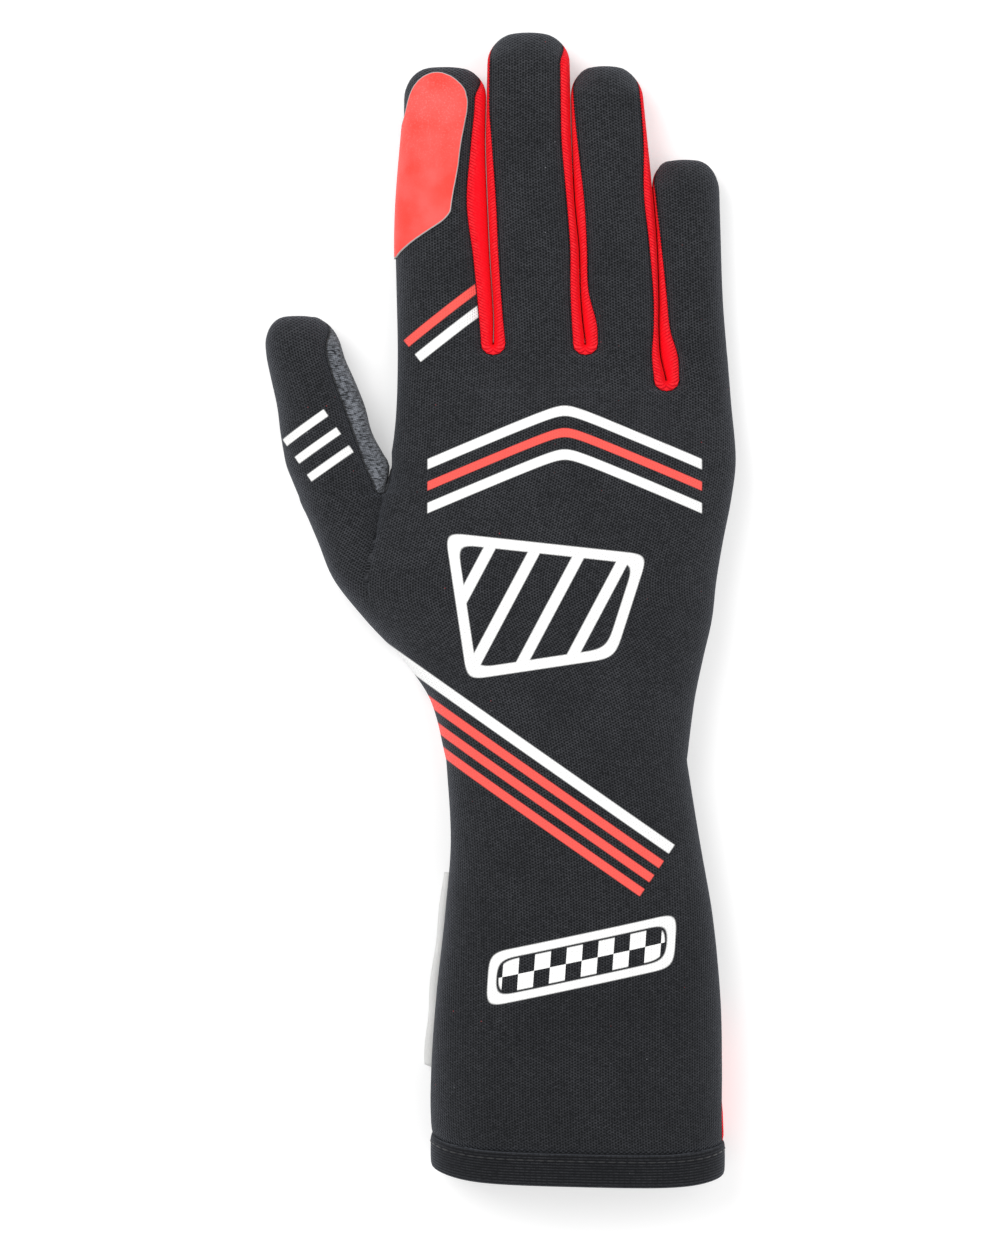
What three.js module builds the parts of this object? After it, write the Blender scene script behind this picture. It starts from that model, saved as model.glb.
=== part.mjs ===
// A right-hand racing glove with a long cuff, lying on its palm with its back up.
// The glove is sewn from thin panels: one knitted back, a suede palm, forked strips between the fingers,
// a gusset inside the thumb, and a cuff with a folded hem. Each panel is a bent sheet with a wall.
// Millimetres. X runs across the hand towards the little finger, Y along it towards the fingertips, Z up.
import * as THREE from "three";

// Lengths along the glove.
const CUFF_LENGTH = 115; // open end to the wrist
const PALM_LENGTH = 111; // wrist to the line where the fingers start
const INDEX_LENGTH = 79.5; // from that line to each fingertip
const MIDDLE_LENGTH = 89;
const RING_LENGTH = 79.8;
const LITTLE_LENGTH = 54.1;
const THUMB_LENGTH = 49.2; // from the thumb's crotch to its tip

// Widths across it.
const CUFF_WIDTH = 79.3;
const WRIST_WIDTH = 65.3;
const HAND_WIDTH = 92.2;
const THUMB_WIDTH = 24.7;
const THUMB_REACH = 72.8; // hand's axis to the middle of the thumb's tip
const THUMB_ROOT_REACH = 73.4; // hand's axis to the outer side of the thumb's root
const CUFF_LEAN = 3.4; // the cuff's middle lies this far to the little finger's side

// Heights above the surface that the glove lies on.
const CUFF_HEIGHT = 31;
const WRIST_HEIGHT = 27;
const HAND_HEIGHT = 26;
const FINGER_HEIGHT = 17;
const THUMB_HEIGHT = 17.5;

// Cloth, seams and trim.
const WALL = 1.9;
const SEAM_GAP = 0.36;
const SLOT = 0.7; // air between the two arms of a forked strip
const LIP = 3.3; // width of a strip that shows beside its crease
const TIP_ROUND = 8.5;
const HEM_WIDTH = 9.3;
const HEM_WALL = 3;
const HEM_BULGE = 0.6;
const HEM_BOW = 2.7; // how far the open end draws back at its sides
const HEM_TILT = 0.95; // and how much further on the thumb's side than in its middle
const TRIM_WALL = 0.5; // patch and label
const TRIM_LIFT = 0.3; // patch above the knit
const LABEL_REACH = 2.7; // how far the label stands out of its seam

// Where the palm's suede ends and the cuff's knit begins, as a share of the cuff's length.
const WRIST_SEAM = 1.03;
// The seam between back and palm, measured round a section: 0 is its crest, 1 its widest point, 2 its foot.
const SIDE_SEAM = 1.25;
const STRIP_SEAM = 1.3;
const FOLD_SEAM = 0.85;
const FLAT_FOOT = 1.64; // where the foot has met the floor
// Height of a section's widest point, as a share of its crest.
const GIRTH = 0.45;
// Roundness of sections: 1 is an ellipse, less is fuller.
const HAND_ROUND = 0.8;
const FINGER_ROUND = 0.9;
const HAND_FOOT = 0.36;
const FINGER_FOOT = 0.6;
const WALL_TURN = 0.6; // the share of a strip's width above its widest line
const FLOOR_PRESS = 1.08; // how far the floor presses a section's foot flat
// How square a fingertip is, and the share of its width that is straight at its end.
const TIP_POWER = 2.05;
const TIP_FLAT = 0.3;
const EDGE_DROP = 0.15; // how far a finger's black edge lies below its crest, as a share of its height

// The cuff from its open end to the wrist. flare goes from wrist width to cuff width.
const CUFF_ROWS = [
  { at: 0.0, flare: 1.0, lean: 1.0, height: 1.0 },
  { at: 0.17, flare: 0.99, lean: 0.82, height: 0.9 },
  { at: 0.44, flare: 0.83, lean: 0.92, height: 0.62 },
  { at: 0.64, flare: 0.51, lean: 0.96, height: 0.3 },
  { at: 0.81, flare: 0.16, lean: 0.72, height: 0.08 },
  { at: 1.0, flare: 0.0, lean: 0.0, height: 0.0 },
];

// The hand from the wrist to the fingers. right goes from wrist width to hand width, thumb from the wrist's
// side to the thumb root's outer side, and height from the wrist's to the hand's and down to the fingers'.
const PALM_ROWS = [
  { at: 0.0, right: 0.0, thumb: 0.0, fold: 0.16, height: 0.0, knuckle: 0.0 },
  { at: 0.15, right: 0.16, thumb: 0.108, fold: 0.1, height: 0.4, knuckle: 0.0 },
  { at: 0.25, right: 0.33, thumb: 0.29, fold: 0.07, height: 0.8, knuckle: 0.0 },
  { at: 0.35, right: 0.52, thumb: 0.545, fold: 0.05, height: 1.0, knuckle: 0.0 },
  { at: 0.446, right: 0.61, thumb: 0.757, fold: 0.085, height: 1.0, knuckle: 0.0 },
  { at: 0.545, right: 0.74, thumb: 0.87, fold: 0.14, height: 1.0, knuckle: 0.05 },
  { at: 0.65, right: 0.91, thumb: 0.99, fold: 0.19, height: 1.0, knuckle: 0.14 },
  { at: 0.743, right: 1.0, thumb: 1.08, fold: 0.2, height: 1.0, knuckle: 0.26 },
  { at: 0.891, right: 0.92, thumb: 1.1, fold: 0.2, height: 1.0, knuckle: 0.5 },
  { at: 1.0, right: 0.85, thumb: 1.1, fold: 0.2, height: 1.0, knuckle: 0.7 },
];

// The hand's own thumb side, as a share of half the hand's width, along the palm's length.
const HAND_SIDE_ROWS = [
  { at: 0.38, side: 1.17 },
  { at: 0.45, side: 1.185 },
  { at: 0.54, side: 1.135 },
  { at: 0.66, side: 1.077 },
  { at: 0.74, side: 1.042 },
  { at: 0.85, side: 1.012 },
  { at: 1.0, side: 1.0 },
  { at: 1.33, side: 1.007 },
  { at: 1.6, side: 0.96 },
];
// The little finger's outer side beyond the hand, likewise.
const LITTLE_SIDE_ROWS = [
  { at: 1.0, side: 0.955 },
  { at: 1.14, side: 0.929 },
  { at: 1.32, side: 0.914 },
  { at: 1.5, side: 0.9 },
];

// The creases between the fingers. x is a share of half the hand's width, and left and right are how much
// of the forked strip shows on each side, as shares of LIP.
const GAPS = [
  null,
  {
    name: "index_middle",
    root: 0.0,
    along: MIDDLE_LENGTH,
    rows: [
      { at: 0.0, x: -0.436, left: 1.0, right: 1.0 },
      { at: 0.037, x: -0.436, left: 1.0, right: 1.0 },
      { at: 0.12, x: -0.434, left: 1.2, right: 0.75 },
      { at: 0.3, x: -0.455, left: 1.38, right: 0.7 },
      { at: 0.47, x: -0.47, left: 1.72, right: 0.7 },
      { at: 0.65, x: -0.482, left: 1.2, right: 0.52 },
      { at: 0.77, x: -0.478, left: 0.95, right: 0.25 },
      { at: 1.0, x: -0.468, left: 0.9, right: 0.2 },
    ],
  },
  {
    name: "middle_ring",
    root: 0.0,
    along: MIDDLE_LENGTH,
    rows: [
      { at: 0.0, x: 0.112, left: 1.0, right: 1.0 },
      { at: 0.05, x: 0.11, left: 1.0, right: 1.05 },
      { at: 0.1, x: 0.098, left: 0.92, right: 1.12 },
      { at: 0.2, x: 0.083, left: 0.83, right: 0.65 },
      { at: 0.33, x: 0.076, left: 0.75, right: 0.62 },
      { at: 0.47, x: 0.05, left: 0.66, right: 0.78 },
      { at: 0.66, x: 0.032, left: 0.85, right: 0.45 },
      { at: 0.8, x: 0.026, left: 0.85, right: 0.2 },
      { at: 1.0, x: 0.018, left: 0.8, right: 0.2 },
    ],
  },
  {
    name: "ring_little",
    root: -0.089,
    along: RING_LENGTH,
    rows: [
      { at: -0.12, x: 0.6, left: 1.0, right: 1.0 },
      { at: -0.08, x: 0.592, left: 1.0, right: 1.08 },
      { at: 0.0, x: 0.56, left: 0.72, right: 1.42 },
      { at: 0.09, x: 0.55, left: 0.45, right: 0.92 },
      { at: 0.2, x: 0.55, left: 0.45, right: 0.65 },
      { at: 0.4, x: 0.538, left: 0.68, right: 0.3 },
      { at: 0.55, x: 0.518, left: 0.8, right: 0.15 },
      { at: 0.75, x: 0.483, left: 0.36, right: 0.12 },
      { at: 1.0, x: 0.44, left: 0.3, right: 0.1 },
    ],
  },
];
// Below the fingers' roots the same lines run on down the hand, as shares of its width.
const LANES = [
  null,
  { root: 0.286, wrist: 0.27 },
  { root: 0.566, wrist: 0.52 },
  { root: 0.81, wrist: 0.76 },
];

// The thumb from its crotch to its tip. middle is a share of THUMB_REACH, half of half the thumb's width,
// and lip is how much of the gusset shows, as a share of the thumb's width.
const THUMB_ROWS = [
  { at: 0.0, middle: 0.847, half: 0.95, lip: 0.02 },
  { at: 0.085, middle: 0.853, half: 1.05, lip: 0.17 },
  { at: 0.17, middle: 0.862, half: 1.13, lip: 0.27 },
  { at: 0.24, middle: 0.88, half: 1.08, lip: 0.24 },
  { at: 0.35, middle: 0.906, half: 1.0, lip: 0.2 },
  { at: 0.5, middle: 0.926, half: 0.955, lip: 0.23 },
  { at: 0.65, middle: 0.957, half: 0.9, lip: 0.22 },
  { at: 0.78, middle: 0.985, half: 0.84, lip: 0.18 },
  { at: 1.0, middle: 1.01, half: 0.78, lip: 0.1 },
];

const ROOT_Y = CUFF_LENGTH + PALM_LENGTH;
const CROTCH_Y = CUFF_LENGTH + 0.656 * PALM_LENGTH;
const THUMB_BLEND = 0.29 * PALM_LENGTH; // the thumb's lobe fades into the hand over this length
const FINGER_BLEND = 0.17 * PALM_LENGTH;
const TIP_Y = [
  CROTCH_Y + THUMB_LENGTH,
  ROOT_Y + INDEX_LENGTH,
  ROOT_Y + MIDDLE_LENGTH,
  ROOT_Y + RING_LENGTH,
  ROOT_Y + LITTLE_LENGTH,
];
const CREST = [THUMB_HEIGHT, FINGER_HEIGHT, FINGER_HEIGHT, 0.97 * FINGER_HEIGHT, 0.9 * FINGER_HEIGHT];
const WEB_Y = [CROTCH_Y, ...GAPS.slice(1).map((gap) => ROOT_Y + gap.root * PALM_LENGTH)];

const lerp = (a, b, t) => a + (b - a) * t;
const clamp = (t) => Math.min(1, Math.max(0, t));
const ease = (from, to, y) => {
  const t = clamp((y - from) / (to - from));
  return t * t * (3 - 2 * t);
};

// A smooth curve through one column of a table.
function track(rows, column) {
  const n = rows.length;
  const slope = (i) => {
    const a = rows[Math.max(0, i - 1)];
    const b = rows[Math.min(n - 1, i + 1)];
    return (b[column] - a[column]) / (b.at - a.at);
  };
  return (at) => {
    if (at <= rows[0].at) return rows[0][column];
    if (at >= rows[n - 1].at) return rows[n - 1][column];
    const i = rows.findIndex((row) => row.at > at) - 1;
    const step = rows[i + 1].at - rows[i].at;
    const t = (at - rows[i].at) / step;
    const [t2, t3] = [t * t, t * t * t];
    return (
      (2 * t3 - 3 * t2 + 1) * rows[i][column] +
      (t3 - 2 * t2 + t) * step * slope(i) +
      (3 * t2 - 2 * t3) * rows[i + 1][column] +
      (t3 - t2) * step * slope(i + 1)
    );
  };
}
function tracks(rows) {
  const columns = Object.keys(rows[0]).filter((key) => key !== "at");
  return Object.fromEntries(columns.map((column) => [column, track(rows, column)]));
}

const cuff = tracks(CUFF_ROWS);
const palm = tracks(PALM_ROWS);
const handSideTrack = track(HAND_SIDE_ROWS, "side");
const littleSideTrack = track(LITTLE_SIDE_ROWS, "side");
const thumb = tracks(THUMB_ROWS);
const gapTracks = GAPS.map((gap) => gap && tracks(gap.rows));

const palmShare = (y) => (y - CUFF_LENGTH) / PALM_LENGTH;

// The whole glove's outer sides and crest, thumb's root included, at a distance y from the open end.
function wholeSection(y) {
  if (y <= CUFF_LENGTH) {
    const at = y / CUFF_LENGTH;
    const half = (WRIST_WIDTH + (CUFF_WIDTH - WRIST_WIDTH) * cuff.flare(at)) / 2;
    const middle = CUFF_LEAN * cuff.lean(at);
    const crest = lerp(WRIST_HEIGHT, CUFF_HEIGHT, cuff.height(at));
    return { left: middle - half, right: middle + half, crest };
  }
  const at = palmShare(y);
  const right =
    at > 1
      ? (littleSideTrack(at) * HAND_WIDTH) / 2
      : (WRIST_WIDTH + (HAND_WIDTH - WRIST_WIDTH) * palm.right(at)) / 2;
  const left = -lerp(WRIST_WIDTH / 2, THUMB_ROOT_REACH, palm.thumb(at));
  const crest = lerp(
    lerp(WRIST_HEIGHT, HAND_HEIGHT, palm.height(at)),
    FINGER_HEIGHT,
    palm.knuckle(at),
  );
  return { left, right, crest };
}

// The hand's own thumb side: the index finger's side above the crotch, the fold over the thumb below it.
function handSide(y) {
  const whole = wholeSection(y);
  const at = palmShare(y);
  const fold = y <= CUFF_LENGTH ? lerp(0.2, 0.16, y / CUFF_LENGTH) : palm.fold(at);
  const low = lerp(whole.left, whole.right, fold);
  const high = (-handSideTrack(at) * HAND_WIDTH) / 2;
  return lerp(low, high, ease(0.34, 0.46, at));
}

// The crease between digit gap and the next one, as x.
function crease(gap, y) {
  if (gap === 0) return handSide(y);
  const { along } = GAPS[gap];
  const high = (gapTracks[gap].x((y - ROOT_Y) / along) * HAND_WIDTH) / 2;
  const side = handSide(y);
  const share = lerp(LANES[gap].wrist, LANES[gap].root, clamp(palmShare(y)));
  const low = lerp(side, wholeSection(y).right, share);
  return lerp(low, high, ease(WEB_Y[gap] - FINGER_BLEND, WEB_Y[gap], y));
}
// How much of a strip shows beside its crease, on the side of one of its two digits.
function lipOf(gap, side, y) {
  if (gap === 0) return THUMB_WIDTH * thumb.lip((y - CROTCH_Y) / THUMB_LENGTH);
  return LIP * gapTracks[gap][side]((y - ROOT_Y) / GAPS[gap].along);
}

// How far a fingertip has narrowed (across) and sunk (up) at y; both are 1 below the tip's rounding.
function tipOf(digit, y, inset) {
  const tip = TIP_Y[digit] - inset;
  const round = (length) => {
    const t = clamp((y - (tip - length)) / length);
    return Math.pow(Math.max(0, 1 - Math.pow(t, TIP_POWER)), 1 / TIP_POWER);
  };
  return { across: lerp(TIP_FLAT, 1, round(TIP_ROUND)), up: round(1.35 * TIP_ROUND) };
}

// A digit's sides, crest and girth at y.
function digitSection(digit, y, inset) {
  const tip = tipOf(digit, y, inset);
  let left;
  let right;
  let crest = CREST[digit];
  if (digit === 0) {
    const at = (y - CROTCH_Y) / THUMB_LENGTH;
    const middle = -THUMB_REACH * thumb.middle(at);
    const half = (THUMB_WIDTH / 2) * thumb.half(at);
    const low = wholeSection(y).left;
    left = lerp(low, middle - half, ease(-0.12, 0.1, at));
    right = at < 0 ? handSide(y) : Math.min(middle + half, handSide(y) - SLOT);
    crest = lerp(1.08, 1, ease(-0.4, 0.5, at)) * THUMB_HEIGHT;
  } else {
    left = digit === 1 ? handSide(y) : crease(digit - 1, y) + SLOT / 2;
    right = digit === 4 ? wholeSection(y).right : crease(digit, y) - SLOT / 2;
  }
  const middle = (left + right) / 2;
  const full = (right - left) / 2;
  const girth = GIRTH * crest;
  const half = full * tip.across;
  return { middle, full, half, girth, up: tip.up, crest: girth + (crest - girth) * tip.up };
}

// The lines that the seams follow, measured round a section.
const TIP_TURNS = [18, 38, 58, 76, 90];
const tipRow = (digit, turn) => TIP_Y[digit] - 1.5 * TIP_ROUND * (1 - Math.sin((turn * Math.PI) / 180));
// A side's seams close in on its widest line over the tip. A strip runs on almost to the tip's end.
const seamStart = (digit, side) => tipRow(digit, isOuter(digit, side) ? 0 : TIP_TURNS[0]);
const seamEnd = (digit, side) => tipRow(digit, TIP_TURNS[isOuter(digit, side) ? 1 : 2]);
const tipSeam = (digit, side, y) => ease(seamStart(digit, side), seamEnd(digit, side), y);
const GUSSET_END = HEM_WIDTH + 0.36 * CUFF_LENGTH;
const gussetShare = (y) => clamp((y - HEM_WIDTH) / (GUSSET_END - HEM_WIDTH));
// The cuff gusset's upper seam runs straight down the side and passes the widest line at GUSSET_TURN.
const GUSSET_TOP = 0.8;
const GUSSET_TURN = 0.38;
function gussetSeam(y) {
  const share = gussetShare(y);
  if (share < GUSSET_TURN) return lerp(GUSSET_TOP, 1, share / GUSSET_TURN);
  return lerp(1, SIDE_SEAM, Math.pow((share - GUSSET_TURN) / (1 - GUSSET_TURN), 1 / HAND_FOOT));
}
const CROTCH_TURN = CROTCH_Y + 0.24 * THUMB_LENGTH;
function highSeam(digit, y) {
  const fold = lerp(FOLD_SEAM, SIDE_SEAM, ease(CROTCH_Y + LIP, CROTCH_TURN, y));
  const open = [SIDE_SEAM, fold, SIDE_SEAM, SIDE_SEAM, gussetSeam(y)][digit];
  return lerp(open, 1, tipSeam(digit, digit === 4 ? 1 : -1, y));
}
function lowSeam(digit, side, y) {
  const outer = digit === 4 ? lerp(1.45, SIDE_SEAM, ease(0, 1, gussetShare(y))) : SIDE_SEAM;
  return lerp(isOuter(digit, side) ? outer : STRIP_SEAM, 1, tipSeam(digit, side, y));
}
const isOuter = (digit, side) => (side < 0 ? digit < 2 : digit === 4);

const thumbShare = (y) => ease(CROTCH_Y - THUMB_BLEND, CROTCH_Y, y);
const fingerShare = (gap, y) => ease(WEB_Y[gap] - FINGER_BLEND, WEB_Y[gap], y);
function ownShare(digit, c, y) {
  if (digit === 0) return thumbShare(y);
  return lerp(fingerShare(Math.max(1, digit - 1), y), fingerShare(Math.min(3, digit), y), (c + 1) / 2);
}
const handSection = (y) => ({ ...wholeSection(y), left: handSide(y) });

// The height of a body's upper side over x.
function crown(body, x, inset) {
  const middle = (body.left + body.right) / 2;
  const half = (body.right - body.left) / 2 - inset;
  const girth = GIRTH * body.crest;
  const sine = Math.pow(Math.min(1, Math.abs(x - middle) / half), 1 / HAND_ROUND);
  const lift = Math.pow(Math.sqrt(Math.max(0, 1 - sine * sine)), HAND_ROUND);
  return girth + (body.crest - inset - girth) * lift;
}
// The hand's own height over x: the thumb's root belongs to it low down, and not beside the thumb.
function bodyHeight(digit, x, y, inset) {
  const whole = crown(wholeSection(y), x, inset);
  return digit === 0 ? whole : lerp(whole, crown(handSection(y), x, inset), thumbShare(y));
}
// A point below the widest line of a body.
function foot(middle, half, girth, side, s, round, inset) {
  const turn = (Math.PI / 2) * (s - 1);
  const floor = Math.max(0, inset);
  const down = Math.max(0, 1 - FLOOR_PRESS * Math.pow(Math.sin(turn), round));
  const out = (half - inset) * Math.pow(Math.max(0, Math.cos(turn)), round);
  return { x: middle + side * out, z: floor + (girth - floor) * down };
}
const mixed = (a, b, t) => ({ x: lerp(a.x, b.x, t), z: lerp(a.z, b.z, t) });

// A point of an outer side: s is 0 on the crest, 1 on the widest line and 2 at the foot.
function sidePoint(digit, side, s, y, inset) {
  const own = digitSection(digit, y, inset);
  const share = ownShare(digit, side, y);
  if (s <= 1) {
    const turn = (Math.PI / 2) * s;
    const x = own.middle + side * (own.half - inset * own.up) * Math.pow(Math.sin(turn), FINGER_ROUND);
    const lift = Math.pow(Math.max(0, Math.cos(turn)), FINGER_ROUND);
    const z = own.girth + (own.crest - inset * own.up - own.girth) * lift;
    return { x, z: lerp(bodyHeight(digit, x, y, inset), z, share) };
  }
  const under = foot(own.middle, own.half, own.girth, side, s, FINGER_FOOT, inset * own.up);
  under.z = Math.max(under.z, (1 - own.up) * own.girth);
  const of = (body) => {
    const half = (body.right - body.left) / 2;
    return foot((body.left + body.right) / 2, half, GIRTH * body.crest, side, s, HAND_FOOT, inset);
  };
  const body = mixed(of(wholeSection(y)), of(handSection(y)), digit === 0 ? 0 : thumbShare(y));
  return mixed(body, under, share);
}

// A point of the wall between two digits: v is 0 at the back's edge and 1 at the palm's.
function wallPoint(digit, side, v, y, inset) {
  const high = isOuter(digit, side) ? highSeam(digit, y) : 1;
  const low = lowSeam(digit, side, y);
  if (isOuter(digit, side)) return sidePoint(digit, side, lerp(high, low, v), y, inset);
  const own = digitSection(digit, y, inset);
  const wide = { x: own.middle + side * (own.half - inset * own.up), z: own.girth };
  const gap = side < 0 ? digit - 1 : digit;
  const closing = tipSeam(digit, side, y);
  const lip = lipOf(gap, side < 0 ? "right" : "left", y) * (own.half / own.full);
  const x = own.middle + side * (own.half - lip - 0.5 * inset);
  const z = own.crest - EDGE_DROP * own.crest * own.up - 0.85 * inset * own.up;
  const edge = mixed({ x, z: Math.max(z, own.girth) }, wide, closing);
  if (v <= WALL_TURN) {
    const turn = (Math.PI / 2) * (v / WALL_TURN);
    return { x: lerp(edge.x, wide.x, Math.sin(turn)), z: lerp(wide.z, edge.z, Math.cos(turn)) };
  }
  const s = lerp(1, low, (v - WALL_TURN) / (1 - WALL_TURN));
  const under = foot(own.middle, own.half, own.girth, side, s, FINGER_FOOT, inset * own.up);
  under.z = Math.max(under.z, (1 - own.up) * own.girth);
  return under;
}

// A point of the rounded web between two digits.
// turn is 0 at its bottom and 90 degrees where the digits start.
function webPoint(gap, side, turn, v, inset) {
  const y = WEB_Y[gap] + LIP;
  const left = wallPoint(gap, 1, v, y, inset);
  const right = wallPoint(gap + 1, -1, v, y, inset);
  const mouth = (wallPoint(gap + 1, -1, 0, y, 0).x - wallPoint(gap, 1, 0, y, 0).x) / 2;
  const reach = lerp((right.x - left.x) / 2 / mouth, 1, ease(WALL_TURN, 1, v));
  const arm = side < 0 ? right : left;
  const sine = Math.sin(turn);
  return new THREE.Vector3(
    lerp((left.x + right.x) / 2, arm.x, sine),
    y - LIP * reach * Math.cos(turn),
    lerp((left.z + right.z) / 2, arm.z, sine),
  );
}

// A row's place round the web, from 0 at its bottom to 90 degrees.
const webTurn = (gap, y) => Math.acos(clamp((WEB_Y[gap] + LIP - y) / LIP));

// Where the palms of two digits meet below their web.
function palmLine(gap, y) {
  const { left, right } = wholeSection(y);
  if (gap > 0) return crease(gap, y);
  return lerp(lerp(left, right, 0.27), crease(0, y), ease(CROTCH_Y - 0.14 * PALM_LENGTH, CROTCH_Y, y));
}

// The edge of a digit's back (v = 0) or palm (v = 1) on one side, at any row.
function edgePoint(digit, side, v, y, inset) {
  const gap = side < 0 ? digit - 1 : digit;
  const web = WEB_Y[gap];
  if (gap < 0 || gap > 3 || y >= web + LIP) {
    const { x, z } = wallPoint(digit, side, v, y, inset);
    return new THREE.Vector3(x, y, z);
  }
  if (y >= web) return webPoint(gap, side, webTurn(gap, y), v, inset);
  if (v === 1) return new THREE.Vector3(palmLine(gap, y), y, Math.max(0, inset));
  const x = crease(gap, y);
  const own = webPoint(gap, side, 0, 0, inset).z;
  const share = gap === 0 ? thumbShare(y) : fingerShare(gap, y);
  return new THREE.Vector3(x, y, lerp(bodyHeight(gap, x, y, inset), own, share));
}
// The inner face of a fingertip lies behind the outer one.
const rowOf = (digit, y, inset) => y - inset * ease(TIP_Y[digit] - 3 * TIP_ROUND, TIP_Y[digit], y);

// The back: digit 0 to 4 from the thumb, c from -1 at its left edge to 1 at its right edge.
function backPoint(digit, c, row, inset) {
  const y = rowOf(digit, row, inset);
  const side = c < 0 ? -1 : 1;
  const q = Math.abs(c);
  const own = digitSection(digit, y, inset);
  const edge = edgeAt(digit, side, 0, row, inset);
  const outer = digit === 1 ? ease(CROTCH_Y + LIP, CROTCH_TURN, row) : 1;
  if (isOuter(digit, side) && outer === 1) {
    const { x, z } = sidePoint(digit, side, q * highSeam(digit, row), y, inset);
    return new THREE.Vector3(x, y, z);
  }
  const turn = Math.PI / 3.6;
  const sine = Math.sin(q * turn) / Math.sin(turn);
  const drop = (1 - Math.cos(q * turn)) / (1 - Math.cos(turn));
  const top = own.crest - inset * own.up;
  const share = ownShare(digit, c, y);
  const heightAt = (x, fall) => lerp(bodyHeight(digit, x, y, inset), lerp(top, edge.z, fall), share);
  const x = lerp(own.middle, edge.x, sine);
  const z = heightAt(x, drop) + (edge.z - heightAt(edge.x, 1)) * q * q;
  return new THREE.Vector3(x, lerp(y, edge.y, q * q), z);
}
function edgeAt(digit, side, v, row, inset) {
  const y = rowOf(digit, row, inset);
  const gap = side < 0 ? digit - 1 : digit;
  if (gap >= 0 && gap <= 3 && row < WEB_Y[gap] + LIP) return edgePoint(digit, side, v, row, inset);
  const high = isOuter(digit, side) ? highSeam(digit, row) : 1;
  if (isOuter(digit, side)) {
    const { x, z } = sidePoint(digit, side, v ? lowSeam(digit, side, row) : high, y, inset);
    return new THREE.Vector3(x, y, z);
  }
  const { x, z } = wallPoint(digit, side, v, y, inset);
  return new THREE.Vector3(x, y, z);
}

// The palm: the same digits and edges, pressed flat by the floor.
function palmPoint(digit, c, row, inset) {
  const y = rowOf(digit, row, inset);
  const own = digitSection(digit, y, inset);
  const lift = (1 - own.up) * own.girth;
  const floor = Math.max(Math.max(0, inset) * own.up, lift);
  const corner = (side) => {
    const gap = side < 0 ? digit - 1 : digit;
    if (gap >= 0 && gap <= 3 && row < WEB_Y[gap] + LIP) {
      const edge = edgePoint(digit, side, 1, row, inset);
      return { x: lerp(edge.x, edgeAt(digit, -side, 1, row, inset).x, 0.18), z: floor };
    }
    const at = isOuter(digit, side)
      ? sidePoint(digit, side, FLAT_FOOT, y, inset)
      : foot(own.middle, own.half, own.girth, side, FLAT_FOOT, FINGER_FOOT, inset * own.up);
    return { x: at.x, z: Math.max(at.z, floor) };
  };
  const q = Math.abs(c);
  const side = c < 0 ? -1 : 1;
  if (q <= 0.5) {
    const { x, z } = mixed(corner(-1), corner(1), c + 0.5);
    return new THREE.Vector3(x, y, z);
  }
  const u = (q - 0.5) / 0.5;
  const edge = edgeAt(digit, side, 1, row, inset);
  const inside = corner(side);
  const gap = side < 0 ? digit - 1 : digit;
  const free = gap < 0 || gap > 3 || row >= WEB_Y[gap] + LIP;
  if (free && u < 1) {
    const s = lerp(FLAT_FOOT, lowSeam(digit, side, row), u);
    const at = isOuter(digit, side)
      ? sidePoint(digit, side, s, y, inset)
      : foot(own.middle, own.half, own.girth, side, s, FINGER_FOOT, inset * own.up);
    return new THREE.Vector3(at.x, y, Math.max(at.z, floor));
  }
  return new THREE.Vector3(lerp(inside.x, edge.x, u), lerp(y, edge.y, u * u), lerp(inside.z, edge.z, u * u));
}

// The rows that every panel is drawn through. Digits that touch share them.
const WEB_TURNS = [22, 45, 68, 90];
const webRows = (gap) => WEB_TURNS.map((turn) => WEB_Y[gap] + LIP * (1 - Math.cos((turn * Math.PI) / 180)));
const CUFF_STEPS = [HEM_WIDTH, 0.27 * CUFF_LENGTH, GUSSET_END, 0.62 * CUFF_LENGTH, 0.8 * CUFF_LENGTH];
const WRIST_Y = WRIST_SEAM * CUFF_LENGTH;
const HAND_STEPS = [0.14, 0.25, 0.36, 0.45, 0.55].map((at) => CUFF_LENGTH + at * PALM_LENGTH);
function digitRows(digit) {
  const rows = [...CUFF_STEPS, WRIST_Y, ...HAND_STEPS, CROTCH_Y, ...webRows(0)];
  if (digit > 0) rows.push(CROTCH_TURN, CUFF_LENGTH + 0.84 * PALM_LENGTH, WEB_Y[3], ...webRows(3));
  if (digit > 0 && digit < 4) rows.push(WEB_Y[1], ...webRows(1));
  const start = rows.at(-1);
  const end = TIP_Y[digit] - 1.5 * TIP_ROUND;
  const steps = Math.round((end - start) / 12.5);
  for (let i = 1; i <= steps; i++) rows.push(lerp(start, end, i / steps));
  return [...rows, ...TIP_TURNS.map((turn) => tipRow(digit, turn))];
}

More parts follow.
